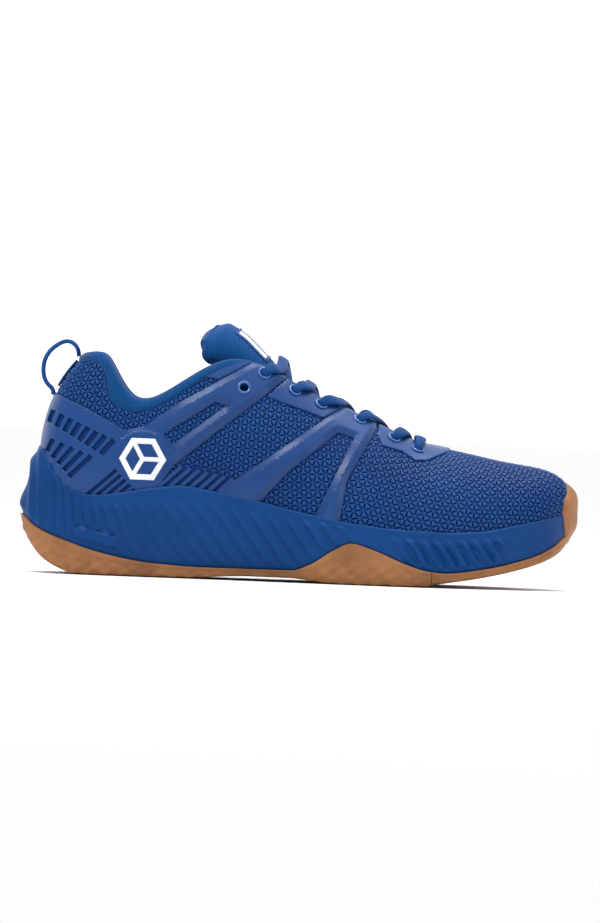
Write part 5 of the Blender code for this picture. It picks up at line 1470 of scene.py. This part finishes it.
def lace_run(side):
    """Stations of the lace that starts at one side's second eyelet, down to the last pair of eyelets."""
    last = len(EYELETS) - 1
    centre, normal = eyelet_frame(1, side)
    stations = [(centre - normal * 5.5 + np.array([-9.0, 0, -7.0]), normal, 0.4)]
    stations += through_eyelet(1, side)[::-1]
    one = side
    for index in range(1, last):
        stations += crossing_strand(index, one, (index + (side == MEDIAL)) % 2)
        one = -one
        stations += through_eyelet(index + 1, one)[::-1]
    return stations, one


def lace(finish):
    """The flat lace, from one tucked end to the other, with the bottom bar between the last eyelets."""
    last = len(EYELETS) - 1
    forward, end_side = lace_run(LATERAL)
    backward, _ = lace_run(MEDIAL)
    bar = []
    for side in (end_side, -end_side):
        centre, normal = eyelet_frame(last, side)
        towards = eyelet_frame(last, -side)[0] - centre
        aim = unit(towards - normal * np.dot(towards, normal))
        bar.append((centre + normal * (eyelet_lift(last) + 2.2) + aim * 3.0, normal, 0.5))
    middle = (bar[0][0] + bar[1][0]) / 2 + np.array([0, 0, 2.0])
    stations = forward + [bar[0], (middle, np.array([0.3, 0, 0.95]), 0.0), bar[1]] + backward[::-1]
    places = np.array([place for place, _, _ in stations])
    known = [k for k, (_, face, _) in enumerate(stations) if face is not None]
    seen = np.array([stations[k][1] for k in known])
    numbers = np.arange(len(stations))
    faces = np.stack([np.interp(numbers, known, seen[:, axis]) for axis in range(3)], axis=-1)
    table = np.column_stack([places, unit(faces), [bunch for _, _, bunch in stations]])
    knots = np.concatenate([[0], np.cumsum(np.linalg.norm(np.diff(places, axis=0), axis=1))])
    count = int(knots[-1] / LACE_STEP)
    even = np.linspace(0, knots[-1], count)
    path = np.stack([smooth(knots, table[:, axis])(even) for axis in range(3)], axis=-1)
    ups = unit(np.stack([np.interp(even, knots, table[:, axis]) for axis in (3, 4, 5)], axis=-1))
    bunch = np.interp(even, knots, table[:, 6])
    along = unit(np.gradient(path, axis=0))
    across = np.cross(along, ups)
    steady_across = [unit(across[0])]
    for way, ahead in zip(across[1:], along[1:]):
        last_way = steady_across[-1]
        strength = np.linalg.norm(way)
        way = way if np.dot(way, last_way) >= 0 else -way
        mixed = last_way * 0.93 + way * 0.12 * min(1.0, 2 * strength)
        steady_across.append(unit(mixed - ahead * np.dot(mixed, ahead)))
    across = np.array(steady_across)
    ups = np.cross(across, along)
    ease_bunch = bunch * bunch * (3 - 2 * bunch)
    width = (LACE_WIDTH + (LACE_BUNCHED - LACE_WIDTH) * ease_bunch) / 2
    rib = 1 + LACE_RIB * np.cos(math.tau * even / LACE_RIB_PITCH)
    more = LACE_BUNCHED_THICKNESS - LACE_THICKNESS
    height = (LACE_THICKNESS + more * ease_bunch) / 2 * rib
    rings = ribbon(path, ups, width, height, sides=14, square=0.75)
    return add_piece("lace_flat", *closed_tube(rings), finish, sharp=0)


# ---------------------------------------------------------------- stage
def light(name, place, target, size, power):
    made = bpy.data.objects.new(name, bpy.data.lights.new(name, "AREA"))
    made.data.shape, made.data.size, made.data.energy = "DISK", size, power
    made.location = place
    made.rotation_euler = (Vector(target) - Vector(place)).to_track_quat("-Z", "Y").to_euler()
    bpy.context.scene.collection.objects.link(made)


def surround(tree):
    """White above and behind the shoe, dimmer low down in front of it."""
    add = tree.nodes.new
    place, axes = add("ShaderNodeTexCoord"), add("ShaderNodeSeparateXYZ")
    tree.links.new(place.outputs["Generated"], axes.inputs[0])
    parts = []
    for axis, low, high in (("Z", 0.15, 0.7), ("Y", -0.1, 0.5)):
        part = add("ShaderNodeMapRange")
        part.inputs["From Min"].default_value, part.inputs["From Max"].default_value = low, high
        tree.links.new(axes.outputs[axis], part.inputs["Value"])
        parts.append(part.outputs["Result"])
    most, strength = add("ShaderNodeMath"), add("ShaderNodeMapRange")
    most.operation = "MAXIMUM"
    for part, socket in zip(parts, most.inputs):
        tree.links.new(part, socket)
    strength.inputs["To Min"].default_value, strength.inputs["To Max"].default_value = 0.62, 1.3
    tree.links.new(most.outputs[0], strength.inputs["Value"])
    tree.links.new(strength.outputs["Result"], tree.nodes["Background"].inputs["Strength"])
    tree.nodes["Background"].inputs["Color"].default_value = (1, 1, 1, 1)


def stage():
    """A pale floor, soft lights and a long lens at the height of the shoe. Sizes here are in metres."""
    scene = bpy.context.scene
    scene.view_settings.view_transform = "Standard"
    floor_paint, _ = new_material("floor_paint", 0.9, Base_Color=(0.78, 0.78, 0.78, 1))
    mesh = bpy.data.meshes.new("floor")
    reach, below = 12, -0.0005
    corners = [(x * reach, y * reach, below) for x, y in ((-1, -1), (1, -1), (1, 1), (-1, 1))]
    mesh.from_pydata(corners, [], [(0, 1, 2, 3)])
    mesh.materials.append(floor_paint)
    floor = bpy.data.objects.new("floor", mesh)
    scene.collection.objects.link(floor)
    world_light = bpy.data.worlds.new("studio")
    world_light.use_nodes = True
    surround(world_light.node_tree)
    scene.world = world_light
    middle = (0, 0, 0.05)
    light("key", (-0.35, -0.5, 0.95), middle, 0.45, 7)
    light("top", (0.15, 0.15, 1.1), middle, 0.7, 7)
    light("fill", (0.9, -0.9, 0.35), middle, 0.6, 2)
    camera = bpy.data.objects.new("camera", bpy.data.cameras.new("camera"))
    distance, view_width, sensor_width = 5.0, 0.3195, 36
    camera.data.sensor_fit = "HORIZONTAL"
    camera.data.sensor_width = sensor_width
    camera.data.lens = sensor_width * distance / view_width
    elevation, roll = math.radians(0.5), math.radians(2.13)
    aim = Vector((-0.0007, 0, 0.0633))
    camera.location = aim + Vector((0, -math.cos(elevation), math.sin(elevation))) * distance
    look = (aim - camera.location).to_track_quat("-Z", "Y")
    camera.rotation_mode = "QUATERNION"
    camera.rotation_quaternion = Quaternion(aim - camera.location, -roll) @ look
    scene.collection.objects.link(camera)
    scene.camera = camera


# ---------------------------------------------------------------- finishes
def film_material(name, low, high, roughness=0.4, scale=22, gloss=0.25):
    """Satin polyurethane film with a fine grain."""
    made, shader = new_material(name, roughness, Specular_IOR_Level=gloss)
    colour_ramp(made, noise(made, scale, 2), ((0.3, low), (0.7, high)), shader.inputs["Base Color"])
    bump(made, shader, noise(made, 2800, 2), 0.25, 0.00005)
    return made


def foam_material():
    """Moulded EVA foam: matt, with a fine skin and a little mottling."""
    made, shader = new_material("midsole_foam", 0.5, Specular_IOR_Level=0.12)
    patch = noise(made, 30, 4)
    stops = ((0.25, srgb(1, 49, 101)), (0.75, srgb(3, 57, 113)))
    colour_ramp(made, patch, stops, shader.inputs["Base Color"])
    bump(made, shader, noise(made, 1500, 4), 0.22, 0.00008)
    return made


def gum_material():
    """Gum rubber: warm tan with darker clouds and a fine moulded grain."""
    made, shader = new_material("gum_rubber", 0.55, Specular_IOR_Level=0.35)
    patch = noise(made, 60, 4)
    stops = ((0.3, srgb(116, 74, 38)), (0.5, srgb(134, 88, 49)), (0.72, srgb(146, 97, 56)))
    colour_ramp(made, patch, stops, shader.inputs["Base Color"])
    bump(made, shader, noise(made, 900, 4), 0.3, 0.0001)
    return made


def knit_material(name, dark, bright, scale=620.0, sheen=0.1):
    """Knitted yarn: rows of small stitches from two crossed waves."""
    made, shader = new_material(name, 0.85, Specular_IOR_Level=0.1, Sheen_Weight=sheen, Sheen_Roughness=0.5)
    place = add_node(made, "ShaderNodeTexCoord")
    waves = []
    for direction, share in (("X", 1.0), ("Z", 1.55)):
        inputs = {"Scale": scale * share / 2, "Distortion": 0.6, "Detail": 1.0, "Detail Scale": 2.0}
        wave = add_node(made, "ShaderNodeTexWave", inputs, bands_direction=direction)
        link(made, place.outputs["Object"], wave.inputs["Vector"])
        waves.append(wave.outputs["Fac"])
    mix = add_node(made, "ShaderNodeMath", operation="MULTIPLY")
    link(made, waves[0], mix.inputs[0])
    link(made, waves[1], mix.inputs[1])
    colour_ramp(made, mix.outputs[0], ((0.0, dark), (0.6, bright)), shader.inputs["Base Color"])
    bump(made, shader, mix.outputs[0], 0.6, 0.00018)
    return made


def webbing_material(name, dark, bright):
    """Woven band: fine diagonal yarns over the ribs of the mesh."""
    made, shader = new_material(name, 0.72, Specular_IOR_Level=0.15, Sheen_Weight=0.1, Sheen_Roughness=0.4)
    place = add_node(made, "ShaderNodeTexCoord")
    inputs = {"Scale": 330.0, "Distortion": 1.2, "Detail": 1.0}
    wave = add_node(made, "ShaderNodeTexWave", inputs, bands_direction="DIAGONAL")
    link(made, place.outputs["Object"], wave.inputs["Vector"])
    colour_ramp(made, wave.outputs["Fac"], ((0.1, dark), (0.8, bright)), shader.inputs["Base Color"])
    bump(made, shader, wave.outputs["Fac"], 0.5, 0.0001)
    return made


def plain_material(name, low, high, roughness, grain=1200, **sockets):
    """One colour with faint mottling and a fine grain."""
    made, shader = new_material(name, roughness, **sockets)
    colour_ramp(made, noise(made, 40, 3), ((0.3, low), (0.7, high)), shader.inputs["Base Color"])
    bump(made, shader, noise(made, grain, 2), 0.2, 0.00005)
    return made


# ---------------------------------------------------------------- assembly
def strap_relief(base, gap):
    """Bevelled ridges of the straps, and the low round seat of the badge on the lateral side."""
    seat = np.hypot(base[:, 0] - EMBLEM_CENTRE[0], base[:, 2] - EMBLEM_CENTRE[1])
    strap = STRAP_SLOPE * np.minimum(gap, STRAP_BEVEL) * ease(base[:, 0], *STRAP_START)
    strap = strap * ease(seat, BADGE_SEAT[0], BADGE_CLEAR)
    return strap + BADGE_RISE * (1 - ease(seat, *BADGE_SEAT)) * (base[:, 1] < 0)


def strap_bevel(base, gap):
    """The sloping faces of the straps, which take the darker slope material: painted shade on the bevels."""
    return (gap < STRAP_BEVEL) & (base[:, 0] > BEVEL_START)


def throat_outline():
    """u, v outline of the panel round the throat's base, from one throat edge to the other."""
    lower = dense([(187, 79), *THROAT_PANEL_OUTLINE[2:-2], (224.6, 70.8)], 2.0, closed=False)
    border, far = laid_flat(lower, LATERAL), laid_flat(lower, MEDIAL)
    tip = CHART.to_flat(0.797, 1.0, LATERAL)
    rear = edge_share(187)
    steps = np.linspace(rear, THROAT_BASE - 0.002, 14)
    edge = {side: [CHART.to_flat(s, 0.998, side) for s in steps] for side in SIDES}
    return border + [tip] + far[::-1] + edge[MEDIAL] + edge[LATERAL][::-1]


def place(piece, *nodes, slot=None):
    if nodes:
        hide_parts(*nodes)
    return piece


def build_sole(gum, foam):
    rear, front = outsole(gum)
    place(rear, "outsole_rear", slot="gum_rubber")
    place(front, "outsole_forefoot", slot="gum_rubber")
    place(toe_bumper(gum), slot="gum_rubber")
    place(midsole(foam), "midsole", slot="midsole_foam")


def build_upper(film, panel, print_white):
    """The film and its overlays. Gives back the pieces that the eyelets' bores go through."""
    punched = [place(upper_film(film), "upper", slot="upper_film")]
    strap = {"relief": strap_relief, "rings": (PANEL_RING, STRAP_BEVEL), "bevel": strap_bevel}
    for side in SIDES:
        name = SIDE_NAMES[side]
        openings = [flat_outline(HEEL_CAGE_WINDOW, side)] + heel_slots(side)
        overlays = (
            ("heel_cage", HEEL_CAGE_OUTLINE, openings, strap),
            ("midfoot_cage", MIDFOOT_CAGE_OUTLINE, [], strap),
            ("eyestay_panel", EYESTAY_PANEL_OUTLINE, [], {}),
            ("collar_patch", COLLAR_PATCH_OUTLINE, [], {}),
        )
        for overlay, outline, holes, settings in overlays:
            shape = [(flat_outline(outline, side), holes)]
            made = welded_panel(f"{overlay}_{name}_film", shape, panel, **settings)
            place(made, f"{overlay}_{name}", slot="overlay_film")
            if overlay != "collar_patch":
                punched.append(made)
        place(welded_panel(f"arch_ribs_{name}", arch_ribs(side), panel, spacing=2.0), slot="overlay_film")
    made = welded_panel("throat_panel_film", [(throat_outline(), [])], panel)
    punched.append(place(made, "throat_panel", slot="overlay_film"))
    place(emblem(print_white), "emblem", slot="print")
    return punched


def build_soft(knit, tongue_knit, lining_knit, binding, label):
    place(collar(knit), "collar_lining", slot="knit")
    lined = place(lining(lining_knit), "lining", slot="lining_textile")
    place(insole(lining_knit), "insole", slot="insole_textile")
    place(tongue_pad(tongue_knit), "tongue_shell", "tongue_foam", "tongue_lining", slot="knit")
    place(tongue_binding(binding), slot="knit")
    place(tongue_label(label), "tongue_label", slot="print")
    return lined


def build_fittings(webbing, loop_web, rings):
    place(lace(webbing), "lace", slot="lace_webbing")
    place(pull_loop(loop_web), "pull_loop", slot="webbing")
    place(back_stay(loop_web), "back_stay", slot="webbing")
    for side in SIDES:
        for index in range(len(EYELETS)):
            place(eyelet(index, side, rings), f"eyelet_{SIDE_NAMES[side]}_{index + 1}", slot="eyelet")


def main():
    foam, gum = foam_material(), gum_material()
    raised = film_material("lattice_raised", srgb(5, 51, 107), srgb(10, 61, 119), 0.4, gloss=0.17)
    # The grooves take a much darker copy of the film: painted shade in the lattice's grooves.
    groove = film_material("lattice_groove_painted_shade", srgb(0, 18, 55), srgb(1, 25, 67), 0.7, gloss=0.05)
    # A darker copy of the film for the sunk cells: painted shade in the recesses under the heel cage's slots
    # and between the arch's ribs.
    sunk = film_material("film_plain_painted_shade", srgb(3, 40, 94), srgb(5, 47, 104), 0.5, gloss=0.1)
    flat = film_material("panel_flat", srgb(10, 50, 104), srgb(16, 58, 112), 0.36, 14)
    # The straps' bevels take a slightly darker copy of the panel film: painted shade on the sloping faces.
    slope = film_material("panel_slope_painted_shade", srgb(8, 46, 97), srgb(13, 53, 104), 0.32, 14)
    film, panel = (raised, groove, sunk), (flat, slope)
    knit = knit_material("collar_knit", srgb(0, 46, 92), srgb(2, 70, 122))
    tongue_knit = knit_material("tongue_knit", srgb(0, 48, 98), srgb(2, 74, 130), 480.0)
    lining_knit = knit_material("lining_knit", srgb(2, 32, 76), srgb(6, 54, 110), 700.0)
    binding = knit_material("binding_knit", srgb(2, 42, 92), srgb(8, 64, 124), 800.0)
    webbing = webbing_material("lace_weave", srgb(0, 42, 92), srgb(0, 60, 116))
    loop_web = webbing_material("loop_weave", srgb(2, 48, 104), srgb(8, 70, 132))
    print_white = plain_material("print_white", srgb(198, 201, 205), srgb(212, 214, 218), 0.45)
    coat = {"Coat_Weight": 0.5, "Coat_Roughness": 0.12}
    rings = plain_material("eyelet_finish", srgb(10, 66, 130), srgb(14, 74, 138), 0.22, **coat)
    build_sole(gum, foam)
    punched = build_upper(film, panel, print_white)
    punched.append(build_soft(knit, tongue_knit, lining_knit, binding, (print_white, flat)))
    punch_eyelets(punched)
    build_fittings(webbing, loop_web, rings)
    board = plain_material("fibre_board", srgb(120, 104, 84), srgb(138, 122, 100), 0.8)
    soft = plain_material("open_foam", srgb(150, 148, 140), srgb(172, 170, 160), 0.9, 700)
    stiff = plain_material("shank_nylon", srgb(24, 25, 28), srgb(34, 35, 38), 0.45)
    tip = plain_material("aglet_film", srgb(6, 52, 110), srgb(10, 60, 120), 0.25)
    carried_over = (
        (board, ("heel_counter", "toe_puff", "strobel_board")),
        (soft, ("collar_foam",)),
        (stiff, ("shank_plate",)),
        (tip, ("aglet_lateral", "aglet_medial")),
    )
    for finish, names in carried_over:
        for name in names:
            for slot in bpy.data.objects[name].material_slots:
                slot.material = finish
    stage()


main()
